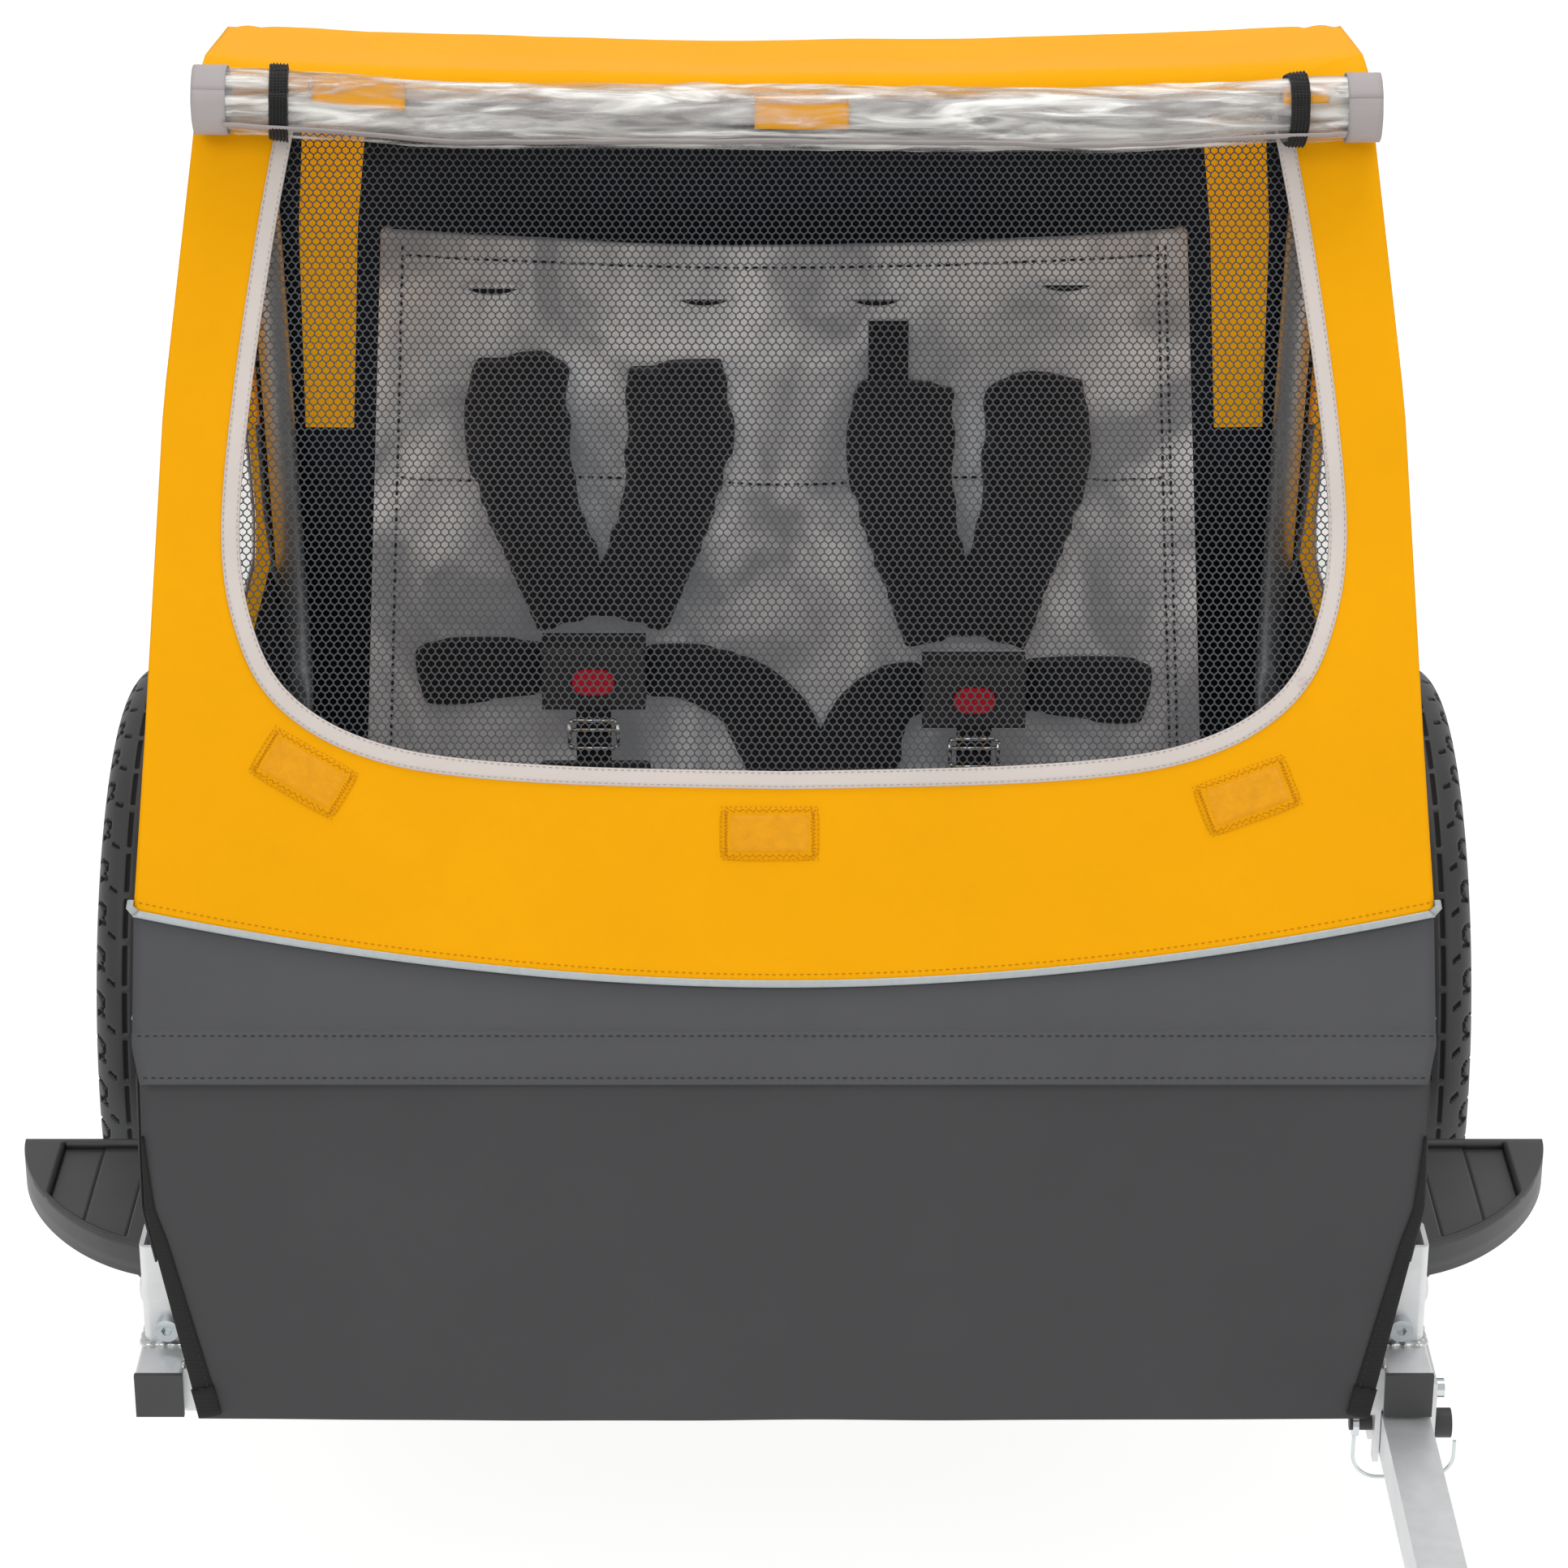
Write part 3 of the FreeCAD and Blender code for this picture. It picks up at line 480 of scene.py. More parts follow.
# Side profile of the cabin from the hem over the roof to the rear edge. Each corner is
# (y from the axle, z, radius that rounds it). A length s along it counts from the second corner.
CORNERS = [
    (-0.4890, 0.3765, 0.0), (-0.4790, 0.3945, 0.014), (-0.1975, 0.8385, 0.022),
    (-0.044, 0.8210, 0.030), (0.2455, 0.3030, 0.030), (0.2500, 0.2140, 0.0),
]


def rounded_profile():
    pts = [Vector((0, y, z)) for y, z, _ in CORNERS]
    path = [pts[0]]
    marks = [0]
    for i in range(1, len(pts) - 1):
        a = (pts[i - 1] - pts[i]).normalized()
        b = (pts[i + 1] - pts[i]).normalized()
        half = a.angle(b) / 2
        r = CORNERS[i][2]
        back = r / math.tan(half)
        mid = (a + b).normalized()
        centre = pts[i] + mid * (r / math.sin(half))
        start, end = pts[i] + a * back, pts[i] + b * back
        for k in range(9):
            q = start.lerp(end, k / 8)
            path.append(centre + (q - centre).normalized() * r)
            if k == 4:
                marks.append(len(path) - 1)
    path.append(pts[-1])
    marks.append(len(path) - 1)
    lengths = [0.0]
    for p, q in zip(path, path[1:]):
        lengths.append(lengths[-1] + (q - p).length)
    zero = lengths[marks[1]]
    return path, [s - zero for s in lengths], [lengths[m] - zero for m in marks]


PATH, LENGTHS, MARKS = rounded_profile()
S_HEM, _, S_FRONT, S_CREST, _, S_LOW = MARKS


def profile(s):
    s = min(max(s, LENGTHS[0]), LENGTHS[-1])
    i = min(max(bisect.bisect_right(LENGTHS, s) - 1, 0), len(PATH) - 2)
    span = LENGTHS[i + 1] - LENGTHS[i]
    return PATH[i].lerp(PATH[i + 1], (s - LENGTHS[i]) / span if span > 1e-9 else 0)


# Half the cabin's width by height, (z, half width).
WIDTHS = [
    (0.18, 0.3365), (0.30, 0.3335), (0.372, 0.3315), (0.394, 0.3370), (0.45, 0.3375), (0.53, 0.3335),
    (0.68, 0.3275), (0.80, 0.3150), (0.84, 0.3112), (0.90, 0.3112),
]


def between(table, x):
    for (a, p), (b, q) in zip(table, table[1:]):
        if x <= b:
            t = min(max((x - a) / (b - a), 0), 1)
            return p + (q - p) * t * t * (3 - 2 * t)
    return table[-1][1]


def half_width(z):
    return between_linear(WIDTHS, z)


# How far the hoops lean inwards for each metre of height.
HOOP_LEAN = 0.0467
HOOP_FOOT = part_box("side_hoop_left")[1][0]
HOOP_FOOT_Z = 0.2213


def hoop_outside(z):
    """Outer face of the leaning hoop's tube at a height."""
    return HOOP_FOOT - (z - HOOP_FOOT_Z) * HOOP_LEAN


def skin_half(s):
    """Half the cabin's width along the profile. At the rear it covers the hoops down to the brackets."""
    z = profile(s).z
    w = half_width(z)
    if s < S_CREST:
        return w
    cover = min(1.0, max(0.0, (z - 0.270) / 0.020))
    return max(w, w + (hoop_outside(z) + 0.0022 - w) * cover)


def outward(s):
    d = profile(s + 0.004) - profile(s - 0.004)
    return Vector((0, -d.z, d.y)).normalized()


def cabin(x, s, lift=0.0):
    """Point on the cabin's skin, x across and s along the profile, lifted outwards."""
    p = profile(s)
    n = outward(s)
    w = half_width(p.z)
    u = min(1.0, abs(x) / w)
    middle = (1 - u * u)
    roof = max(0.0, 1 - abs(s - (S_FRONT + S_CREST) / 2) / 0.16)
    sag = middle * (0.0035 * min(1, max(0, s - S_HEM - 0.02) / 0.10) + 0.0085 * roof)
    pull = ripple((x, p.y * 0.6, p.z * 0.6), 6.5, 0.0011) * (0.25 + 0.75 * middle)
    crease = ripple((x * 3.0, 0, s * 0.9), 5.0, 0.0012, 4.0) * roof
    q = p + n * (lift - sag + pull + crease)
    return Vector((x, q.y + AXLE_Y, q.z))


def skin(u, s, lift=0.0):
    return cabin(u * skin_half(s), s, lift)


def flap_edge(u):
    """Height along the profile where the yellow cover ends over the grey flap."""
    return 0.0320 + 0.0375 * abs(u) ** 1.9


# One half of the window's outline, (x, s), from the middle of its lower edge to its upper corner.
WINDOW_SIDE = [
    (0.0, 0.1385), (0.11, 0.1410), (0.18, 0.1465), (0.222, 0.1565), (0.252, 0.1725), (0.2725, 0.1945),
    (0.2850, 0.2260), (0.2905, 0.2600), (0.2900, 0.3000), (0.2845, 0.3600), (0.2755, 0.4300),
    (0.2665, 0.4870), (0.2640, 0.5020),
]


def catmull(points, steps):
    out = []
    for i in range(len(points) - 1):
        p0, p1 = points[max(0, i - 1)], points[i]
        p2, p3 = points[i + 1], points[min(len(points) - 1, i + 2)]
        for k in range(steps):
            t = k / steps
            out.append(tuple(
                0.5 * (2 * b + (c - a) * t + (2 * a - 5 * b + 4 * c - d) * t * t
                       + (3 * b - a - 3 * c + d) * t ** 3)
                for a, b, c, d in zip(p0, p1, p2, p3)
            ))
    out.append(points[-1])
    return out


def window_loop():
    right = catmull(WINDOW_SIDE, 8)
    top_s = right[-1][1]
    top = [(x, top_s) for x in spaced(right[-1][0], -right[-1][0], 40)[1:-1]]
    left = [(-x, s) for x, s in reversed(right)]
    return right + top + left[:-1]


WINDOW = window_loop()


def ray_hit(loop, centre, angle):
    """Distance from the centre to the closed loop in a direction."""
    dx, dy = math.cos(angle), math.sin(angle)
    best = 0.0
    for (x0, y0), (x1, y1) in zip(loop, loop[1:] + loop[:1]):
        ax, ay, bx, by = x0 - centre[0], y0 - centre[1], x1 - centre[0], y1 - centre[1]
        det = dx * (ay - by) - dy * (ax - bx)
        if abs(det) < 1e-12:
            continue
        t = (ax * (ay - by) - ay * (ax - bx)) / det
        k = (dx * ay - dy * ax) / det
        if t > 0 and -1e-6 <= k <= 1 + 1e-6:
            best = max(best, t)
    return best


RING_STEPS = 300


def ring_object(name, inner, outer, centre, place, mat, rings, thickness, extra=()):
    """Cloth between two closed loops that both go round the centre."""
    angles = [2 * math.pi * i / RING_STEPS for i in range(RING_STEPS)]
    angles += [math.atan2(y - centre[1], x - centre[0]) % (2 * math.pi) for x, y in extra]
    angles = sorted(set(round(a, 5) for a in angles))
    verts = []
    for j in range(rings + 1):
        t = j / rings
        for a in angles:
            r0 = ray_hit(inner, centre, a)
            r1 = ray_hit(outer, centre, a)
            r = r0 + (r1 - r0) * t
            verts.append(place(centre[0] + r * math.cos(a), centre[1] + r * math.sin(a)))
    faces = lattice(rings + 1, len(angles), wrap_columns=True, turned=True)
    return solidify(make_object(name, verts, faces, mat), thickness, 1.0)


# Share of its height that a piece is to keep when the frame is folded; the script itself folds nothing.
SKIN_KEEP = 0.40
# 0.33 made the seat back cut the right hoop, and 0.28 made the seat base cut the left one.
SEAT_KEEP = 0.30


def soft(obj, keep=SKIN_KEEP):
    """The piece stays with the base frame."""
    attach(obj, ROOT)
    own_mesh(obj)
    return obj


def lined(obj, lining):
    """Gives the faces that look into the cabin their own cloth."""
    middle = Vector((0, AXLE_Y - 0.12, 0.45))
    obj.data.materials.append(MAT[lining])
    last = len(obj.data.materials) - 1
    for p in obj.data.polygons:
        if p.normal.dot(p.center - middle) < 0 and p.material_index == 0:
            p.material_index = last
    return obj


# ------------------------------------------------------------------ canopy

def make_canopy():
    low, end = flap_edge(1), S_CREST + 0.02
    outer = [(u, flap_edge(u)) for u in spaced(-1, 1, 60)]
    outer += [(1.0, s) for s in spaced(low, end, 60)[1:]]
    outer += [(u, end) for u in spaced(1, -1, 60)[1:]]
    outer += [(-1.0, s) for s in spaced(end, low, 60)[1:-1]]
    inner = [(x / half_width(profile(s).z), s) for x, s in WINDOW]
    corners = [(1, low), (-1, low), (1, end), (-1, end)]
    obj = ring_object("canopy", inner, outer, (0.0, 0.33), skin, "yellow", 44, 0.0011, corners)
    lined(obj, "coated")
    soft(obj)
    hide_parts("front_cover", "roof_cover")


FLAP_SEAM = 0.0062


def make_flap():
    def place(u, t):
        s = S_HEM + (flap_edge(u) + 0.006 - S_HEM) * t
        fold = 0.0013 if s < FLAP_SEAM else 0.0
        return skin(u, s, -0.0012 + fold + 0.0005 * math.sin(u * 5))

    obj = grid_object("grey_flap", spaced(-1, 1, 110), spaced(0, 1, 60), place, "flap", thickness=0.0011)
    soft(obj)
    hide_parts("front_hem")
    rows = []
    for s in (FLAP_SEAM - 0.0016, S_HEM + 0.0035):
        rows.append([(skin(u, s, 0.0006), outward(s)) for u in spaced(-0.995, 0.995, 160)])
    soft(stitch_object("flap_stitches", rows, "stitch_grey"))


def make_edge_trim():
    line = [(u, flap_edge(u)) for u in spaced(-1.0, 1.0, 160)]
    wide = [(u, s - 0.0004 - 0.0008 * abs(u) ** 3) for u, s in line]
    tape = ribbon_object("edge_tape", [skin(u, s, 0.0007) for u, s in wide], [outward(s) for _, s in wide],
                         0.0040, 0.0011, "piping")
    soft(tape)
    rows = [[(skin(u * 0.995, s + 0.0045, 0.0013), outward(s)) for u, s in line]]
    soft(stitch_object("edge_stitches", rows, "stitch_yellow", 0.0036, 0.0022, 0.0006))
    for sign in (-1, 1):
        foot = skin(sign * 0.997, flap_edge(1) - 0.001, 0.0010)
        bend = Vector((sign * 0.0028, 0.0015, 0.0026))
        tip = [foot, foot + bend, foot + Vector((sign * 0.0022, 0.0035, 0.0058))]
        ups = [Vector((0, -1, 0.4)), Vector((sign * 0.5, -1, 0.3)), Vector((sign, -1, 0.2))]
        soft(ribbon_object("edge_tip_" + letter(sign), tip, ups, 0.0044, 0.0012, "piping"))


def make_window_binding():
    pts = [cabin(x, s, 0.0010) for x, s in WINDOW]
    ups = [outward(s) for _, s in WINDOW]
    soft(ribbon_object("window_binding", pts, ups, 0.0098, 0.0013, "binding", closed=True))
    rows = []
    for shift in (-0.0036, 0.0036):
        row = []
        n = len(WINDOW)
        for i in range(n + 1):
            a, b, c = WINDOW[i - 1], WINDOW[i % n], WINDOW[(i + 1) % n]
            d = Vector((c[0] - a[0], c[1] - a[1])).normalized()
            row.append((cabin(b[0] + d.y * shift, b[1] - d.x * shift, 0.0023), outward(b[1])))
        rows.append(row)
    soft(stitch_object("binding_stitches", rows, "stitch_pale", 0.0034, 0.0021, 0.0005))
    join = cabin(0.269, 0.1885, 0.0016)
    across = [join + Vector((0.0036, -0.002, 0.004)), join - Vector((0.0036, -0.002, 0.004))]
    soft(tube_object("binding_join", across, 0.0012, "binding", 8))


def make_mesh_window():
    """Knitted mesh with six-sided holes, every thread modelled."""
    pitch = 0.00425
    row_step = 0.00335
    tall, low = 0.00250, 0.00085
    hole = 0.812
    loop = [(x * 1.004, 0.33 + (s - 0.33) * 1.006) for x, s in WINDOW]
    shape = [(0, tall), (-pitch / 2, low), (-pitch / 2, -low), (0, -tall), (pitch / 2, -low),
             (pitch / 2, low)]
    index = {}
    verts = []
    faces = []

    def vertex(x, s):
        key = (round(x * 2e5), round(s * 2e5))
        if key not in index:
            index[key] = len(verts)
            verts.append(cabin(x, s, -0.0016))
        return index[key]

    for row in range(int((0.506 - 0.130) / row_step)):
        s = 0.130 + row * row_step
        xs = crossing(loop, s)
        if not xs:
            continue
        x = math.ceil(min(xs) / pitch) * pitch + (pitch / 2 if row % 2 else 0)
        while x < max(xs):
            outer = [vertex(x + a, s + b) for a, b in shape]
            base = len(verts)
            verts += [cabin(x + a * hole, s + b * hole, -0.0016) for a, b in shape]
            faces += [(outer[k], outer[(k + 1) % 6], base + (k + 1) % 6, base + k) for k in range(6)]
            x += pitch
    obj = make_object("mesh_net", verts, faces, "mesh", smooth=False)
    soft(obj)
    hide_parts("mesh_window")


def crossing(loop, s):
    out = []
    for (x0, y0), (x1, y1) in zip(loop, loop[1:] + loop[:1]):
        if (y0 - s) * (y1 - s) < 0:
            t = (s - y0) / (y1 - y0)
            out.append(x0 + (x1 - x0) * t)
    return out


def make_patches():
    pieces = []
    for name, x, s, turn in (("l", -0.2505, 0.1420, 30), ("c", -0.0075, 0.1105, 0),
                             ("r", 0.2412, 0.1300, -20)):
        c, q = math.cos(math.radians(-turn)), math.sin(math.radians(-turn))

        def place(a, b, lift):
            return cabin(x + a * c - b * q, s + a * q + b * c, lift)

        base = rounded_slab("patch_" + name, place, 0.0262, 0.0148, 0.0012, 0.0018, "yellow")
        pad = fuzz_slab("patch_fuzz_" + name, place, 0.0205, 0.0098)
        rows = [zigzag(place, 0.0228, 0.0120)]
        thread = stitch_object("patch_stitch_" + name, rows, "stitch_yellow", 0.0019, 0.0020, 0.0005)
        edge = [[(place(a, b, 0.0021), outward(s)) for a, b in rectangle(0.0252, 0.0139, 12)]]
        seam = stitch_object("patch_seam_" + name, edge, "stitch_yellow", 0.0026, 0.0016, 0.0004)
        pieces += [base, pad, thread, seam]
    for p in pieces:
        soft(p)
    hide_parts("hook_patches")


def rectangle(a, b, n):
    corners = [(-a, -b), (a, -b), (a, b), (-a, b), (-a, -b)]
    out = []
    for (x0, y0), (x1, y1) in zip(corners, corners[1:]):
        out += [(x0 + (x1 - x0) * k / n, y0 + (y1 - y0) * k / n) for k in range(n)]
    out.append(corners[0])
    return out


def zigzag(place, a, b):
    line = []
    flip = 1
    for x, y in rectangle(a, b, 26):
        flip = -flip
        k = 1 + flip * 0.035
        line.append((place(x * k, y * (1 + flip * 0.07), 0.0024), Vector((0, -0.85, 0.5))))
    return line


def rounded_slab(name, place, a, b, low, high, mat):
    """Flat patch with round corners."""
    def point(u, v, lift):
        k = (abs(u) ** 6 + abs(v) ** 6) ** (1 / 6)
        f = 1 if k < 1e-9 else max(abs(u), abs(v)) / k
        return place(u * a * f, v * b * f, lift)

    us, vs = spaced(-1, 1, 18), spaced(-1, 1, 12)

    def top(u, v):
        edge = max(abs(u), abs(v))
        return point(u, v, high - 0.0006 * max(0, edge - 0.9) / 0.1)

    obj = grid_object(name, us, vs, top, mat)
    return solidify(obj, high - low, -1.0)


def fuzz_slab(name, place, a, b):
    def top(u, v):
        edge = max(abs(u), abs(v))
        lift = 0.0030 - 0.0011 * max(0, edge - 0.85) / 0.15
        lift += noise.noise(Vector((u * 60, v * 32, 2.0))) * 0.00025
        return place(u * a, v * b, lift)

    return grid_object(name, spaced(-1, 1, 60), spaced(-1, 1, 32), top, "fuzz")


# ------------------------------------------------------------------ rolled rain cover

def roll_axis(x):
    """Centre line of the roll: level with the roof's front edge at its ends, lower between."""
    u = x / 0.311
    s = between([(-1.0, 0.4990), (-0.5, 0.4900), (0.5, 0.4880), (1.0, 0.4945)], u)
    n = outward(0.49)
    p = profile(s)
    return Vector((x, p.y + AXLE_Y, p.z)) + n * 0.0205, n, n.cross(Vector((1, 0, 0)))


def roll_point(x, turn, radius):
    c, n, t = roll_axis(x)
    wob = ripple((x * 4, math.cos(turn) * 0.6, math.sin(turn) * 0.6), 3.2, 0.0016, 7.0)
    wob += ripple((x * 14, math.cos(turn) * 1.2, math.sin(turn) * 1.2), 3.0, 0.0007, 3.0)
    r = radius + wob * (0.4 if abs(x) > 0.29 else 1.0)
    return c + n * (r * math.cos(turn)) + t * (r * 1.07 * math.sin(turn))


def make_roll():
    pieces = []
    for name, r, mat, turns in (("roll_outer", 0.0165, "vinyl", 1.12),
                                ("roll_inner", 0.0122, "vinyl_core", 1.6)):
        us = spaced(-0.3105, 0.3140, 260)
        vs = spaced(0, 2 * math.pi * turns, int(40 * turns))

        def place(x, t, r=r):
            return roll_point(x, -t + 0.9, r - 0.0009 * t / (2 * math.pi))

        pieces.append(grid_object(name, us, vs, place, mat))
    for sign, x0 in ((-1, -0.3115), (1, 0.2965)):
        us = spaced(x0, x0 + 0.0180, 8)
        vs = spaced(0, 2 * math.pi, 40)
        band = grid_object("roll_band_" + letter(sign), us, vs,
                           lambda x, t: roll_point(x, t, 0.0164), "roll_binding")
        pieces.append(solidify(band, 0.0008, 1.0))
        rows = []
        for x in (x0 + 0.0022, x0 + 0.0158):
            rows.append([(roll_point(x, t, 0.0171), roll_point(x, t, 1.0)) for t in spaced(-1.6, 1.6, 40)])
        pieces.append(stitch_object("roll_band_stitches_" + letter(sign), rows, "stitch_pale",
                                    0.0034, 0.0021, 0.0005))
        rings = spaced(0.0172, 0.004, 5)
        x_end = x0 if sign < 0 else x0 + 0.0180
        pieces.append(grid_object(
            "roll_end_" + letter(sign), vs, rings,
            lambda t, r: roll_point(x_end + sign * 0.0006 * math.sin(r * 2400), t, r), "roll_binding",
        ))
    edge = [roll_point(x, -1.05, 0.0172) for x in spaced(-0.295, 0.296, 200)]
    ups = [Vector((0, -0.55, -0.83))] * len(edge)
    pieces.append(ribbon_object("roll_edge_binding", edge, ups, 0.0065, 0.0009, "roll_binding"))
    for name, x0, x1, a0, a1 in (
        ("a", -0.248, -0.199, -0.2, 1.0), ("b", -0.0155, 0.0340, -0.65, 0.55), ("c", 0.262, 0.286, -0.1, 0.7),
        ("d", -0.262, -0.250, 0.2, 0.9),
    ):
        us, vs = spaced(x0, x1, 14), spaced(a0, a1, 10)
        tab = grid_object("roll_patch_" + name, us, vs, lambda x, t: roll_point(x, t, 0.0151), "yellow")
        pieces.append(solidify(tab, 0.0008, -1.0))
    for p in pieces:
        soft(p)
    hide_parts("rain_cover_roll")
    make_loops()


def make_loops():
    objs = []
    for name, x in (("l", 0.2700), ("r", -0.2665)):
        def place(a, t):
            crest = 0.00045 * math.sin((a - x) / 0.0018 * 2 * math.pi)
            return roll_point(a + 0.0016 * math.cos(t), t, 0.0182 + crest)

        across = spaced(x - 0.0045, x + 0.0045, 40)
        band = grid_object("loop_" + name, across, spaced(0, 2 * math.pi, 48), place, "elastic")
        objs.append(solidify(band, 0.0012, -1.0))
    for o in objs:
        soft(o)
    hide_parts("roll_loops")


# ------------------------------------------------------------------ front panel, sides and rear

def panel_half(z):
    return between_linear([(0.17, 0.3067), (0.1855, 0.3098), (0.305, 0.3338), (0.40, 0.3338)], z)


def panel_point(u, z, lift=0.0):
    w = panel_half(z)
    y = between_linear([(0.18, -0.5040), (0.33, -0.4893), (0.40, -0.4765)], z)
    belly = ripple((u * 0.33, 0, z), 7.0, 0.0012, 2.0) * (1 - abs(u) ** 3)
    return Vector((u * w, AXLE_Y + y - lift - 0.002 * (1 - u * u) + belly, z))


def panel_tape(z):
    """Width of the black tape down the side of the front panel."""
    return between_linear([(0.195, 0.0120), (0.2865, 0.0080), (0.312, 0.0049), (0.344, 0.0012)], z)


def make_front_panel():
    def place(u, t):
        return panel_point(u, 0.1850 + 0.198 * t)

    obj = grid_object("front_panel_cloth", spaced(-1, 1, 100), spaced(0, 1, 44), place, "panel",
                      thickness=0.0012, offset=1.0)
    soft(obj)
    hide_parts("front_panel")
    for sign, name in ((-1, "r"), (1, "l")):
        zs = spaced(0.1845, 0.378, 60)
        edge = [z for z in zs if 0.186 < z < 0.346]
        pts = [panel_point(sign, z, 0.0008) - Vector((sign * 0.5 * panel_tape(z), 0, 0)) for z in edge]
        ups = [FORWARD] * len(edge)
        soft(ribbon_object("panel_binding_" + name, pts, ups,
                           lambda t: panel_tape(edge[0] + (edge[-1] - edge[0]) * t), 0.0020, "black_binding"))
        foot = [p + Vector((0, -0.0012, 0)) for p, z in zip(pts, edge) if z < 0.207]
        soft(ribbon_object("panel_tab_" + name, foot, ups[:len(foot)], 0.0128, 0.0020, "black_binding"))
        row = [[(p - Vector((sign * 0.0034, 0.0024, 0)), FORWARD) for p, z in zip(pts, edge) if z < 0.25]]
        soft(stitch_object("panel_stitches_" + name, row, "stitch_dark"))
        side = [panel_point(sign, z) for z in zs]

        def wrap(a, b, side=side, sign=sign):
            p = side[int(b)]
            return p + Vector((sign * 0.001 - sign * 0.012 * a * a, 0.052 * a, 0))

        flank = grid_object("panel_flank_" + name, spaced(0, 1, 6), [float(i) for i in range(28, 61)],
                            wrap, "panel", thickness=0.001)
        soft(flank)


def side_front(z):
    """y of the cabin's front edge at a height: it steps back above the brackets."""
    if z < 0.300:
        return -0.4360
    if z < 0.392:
        return -0.4760
    return between_linear([(0.392, -0.4770), (0.834, -0.1990), (0.86, -0.19)], z)


def side_rear(z):
    if z < 0.278:
        return 0.2110
    if z < 0.300:
        return 0.2445
    return between_linear([(0.300, 0.2435), (0.815, -0.0450), (0.86, -0.07)], z)


def between_linear(table, x):
    for (a, p), (b, q) in zip(table, table[1:]):
        if x <= b:
            return p + (q - p) * min(max((x - a) / (b - a), 0), 1)
    return table[-1][1]


def side_point(sign, y, z, lift=0.0):
    mid = (side_front(z) + side_rear(z)) / 2
    reach = max(0.02, (side_rear(z) - side_front(z)) / 2)
    u = min(1, abs(y - mid) / reach)
    x = half_width(z) - 0.0012 - 0.004 * (1 - u * u) + ripple((0, y, z), 7.0, 0.0012, 5.0 + sign)
    x = max(x, hoop_outside(z) + 0.0015)
    return Vector((sign * (x + lift), y + AXLE_Y, z))


SIDE_WINDOW = [(-0.302, 0.435), (0.134, 0.435), (0.013, 0.640), (-0.192, 0.640)]
SIDE_MIDDLE = (-0.09, 0.53)
SIDE_SEAM = 0.405  # height at which the yellow side cloth meets the dark one


def rounded_loop(corners, radius, step):
    """Closed outline with round corners, and points every step along its straight runs."""
    out = []
    for i, corner in enumerate(corners):
        q = Vector(corner)
        a = (Vector(corners[i - 1]) - q).normalized()
        b = (Vector(corners[(i + 1) % len(corners)]) - q).normalized()
        half = a.angle(b) / 2
        centre = q + (a + b).normalized() * (radius / math.sin(half))
        start, end = q + a * (radius / math.tan(half)), q + b * (radius / math.tan(half))
        if out:
            run = start - Vector(out[-1])
            n = int(run.length / step)
            out += [tuple(Vector(out[-1]) + run * (k / n)) for k in range(1, n)]
        for k in range(7):
            out.append(tuple(centre + (start.lerp(end, k / 6) - centre).normalized() * radius))
    run = Vector(out[0]) - Vector(out[-1])
    n = int(run.length / step)
    return out + [tuple(Vector(out[-1]) + run * (k / n)) for k in range(1, n)]


def make_side(sign, name):
    loop = rounded_loop(SIDE_WINDOW, 0.022, 0.012)
    outer = [(side_front(z), z) for z in spaced(SIDE_SEAM, 0.832, 40)]
    outer += [(y, 0.8345 - (y + 0.197) * 0.124) for y in spaced(-0.197, -0.050, 16)[1:]]
    front, rear = side_front(SIDE_SEAM), side_rear(SIDE_SEAM)
    outer += [(side_rear(z), z) for z in spaced(0.814, SIDE_SEAM, 40)[1:]]
    outer += [(y, SIDE_SEAM) for y in spaced(rear, front, 40)[1:-1]]
    corners = [(front, SIDE_SEAM), (rear, SIDE_SEAM), (-0.197, 0.8345), (-0.05, 0.8163)]
    obj = ring_object("side_%s" % name, loop, outer, SIDE_MIDDLE,
                      lambda y, z: side_point(sign, y, z), "yellow", 20, 0.001, corners)
    # the inside faces get the glowing yellow lining: painted light standing in for daylight through the
    # yellow cloth
    lined(obj, "yellow_in_painted_glow")
    soft(obj)
    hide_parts("side_cover_" + name)
    heights = spaced(0.2125, 0.2779, 8) + spaced(0.2781, 0.2999, 3) + spaced(0.3001, 0.410, 14)
    low = grid_object("side_low_" + name, spaced(0, 1, 70), heights,
                      lambda t, z: side_point(
                          sign, side_front(z) + (side_rear(z) - side_front(z)) * t, z, -0.0009),
                      "panel", thickness=0.001, offset=1.0 if sign > 0 else -1.0)
    soft(low)
    pts = [side_point(sign, y, z, 0.0008) for y, z in loop]
    ups = [Vector((sign, 0, 0))] * len(pts)
    soft(ribbon_object("side_binding_" + name, pts, ups, 0.0095, 0.0012, "binding", closed=True))
    line = [side_point(sign, y, 0.4045, 0.0008) for y in spaced(front, rear, 60)]
    soft(tube_object("side_piping_" + name, line, 0.0015, "piping", 8))
    my, mz = SIDE_MIDDLE
    small = [(my + (y - my) * 1.01, mz + (z - mz) * 1.015) for y, z in loop]
    spot = [(my + 0.001 * math.cos(a / 9), mz + 0.001 * math.sin(a / 9)) for a in range(57)]
    pane = ring_object("side_pane_" + name, spot, small, SIDE_MIDDLE,
                       lambda y, z: side_point(sign, y, z, -0.0006), "pane", 8, 0.0005)
    soft(pane)
    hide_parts("side_window_" + name)


STRIP_LENGTH = 0.340


def strip_edge(u, s):
    """Carries u across so that the yellow corner strips lean and narrow downwards."""
    t = min(1.0, max(0.0, (s - S_CREST) / STRIP_LENGTH))
    table = [(0.0, 0.0), (0.786, 0.744 + 0.0635 * t), (0.901, 0.868 + 0.032 * t), (1.0, 1.0)]
    return math.copysign(between_linear(table, abs(u)), u)


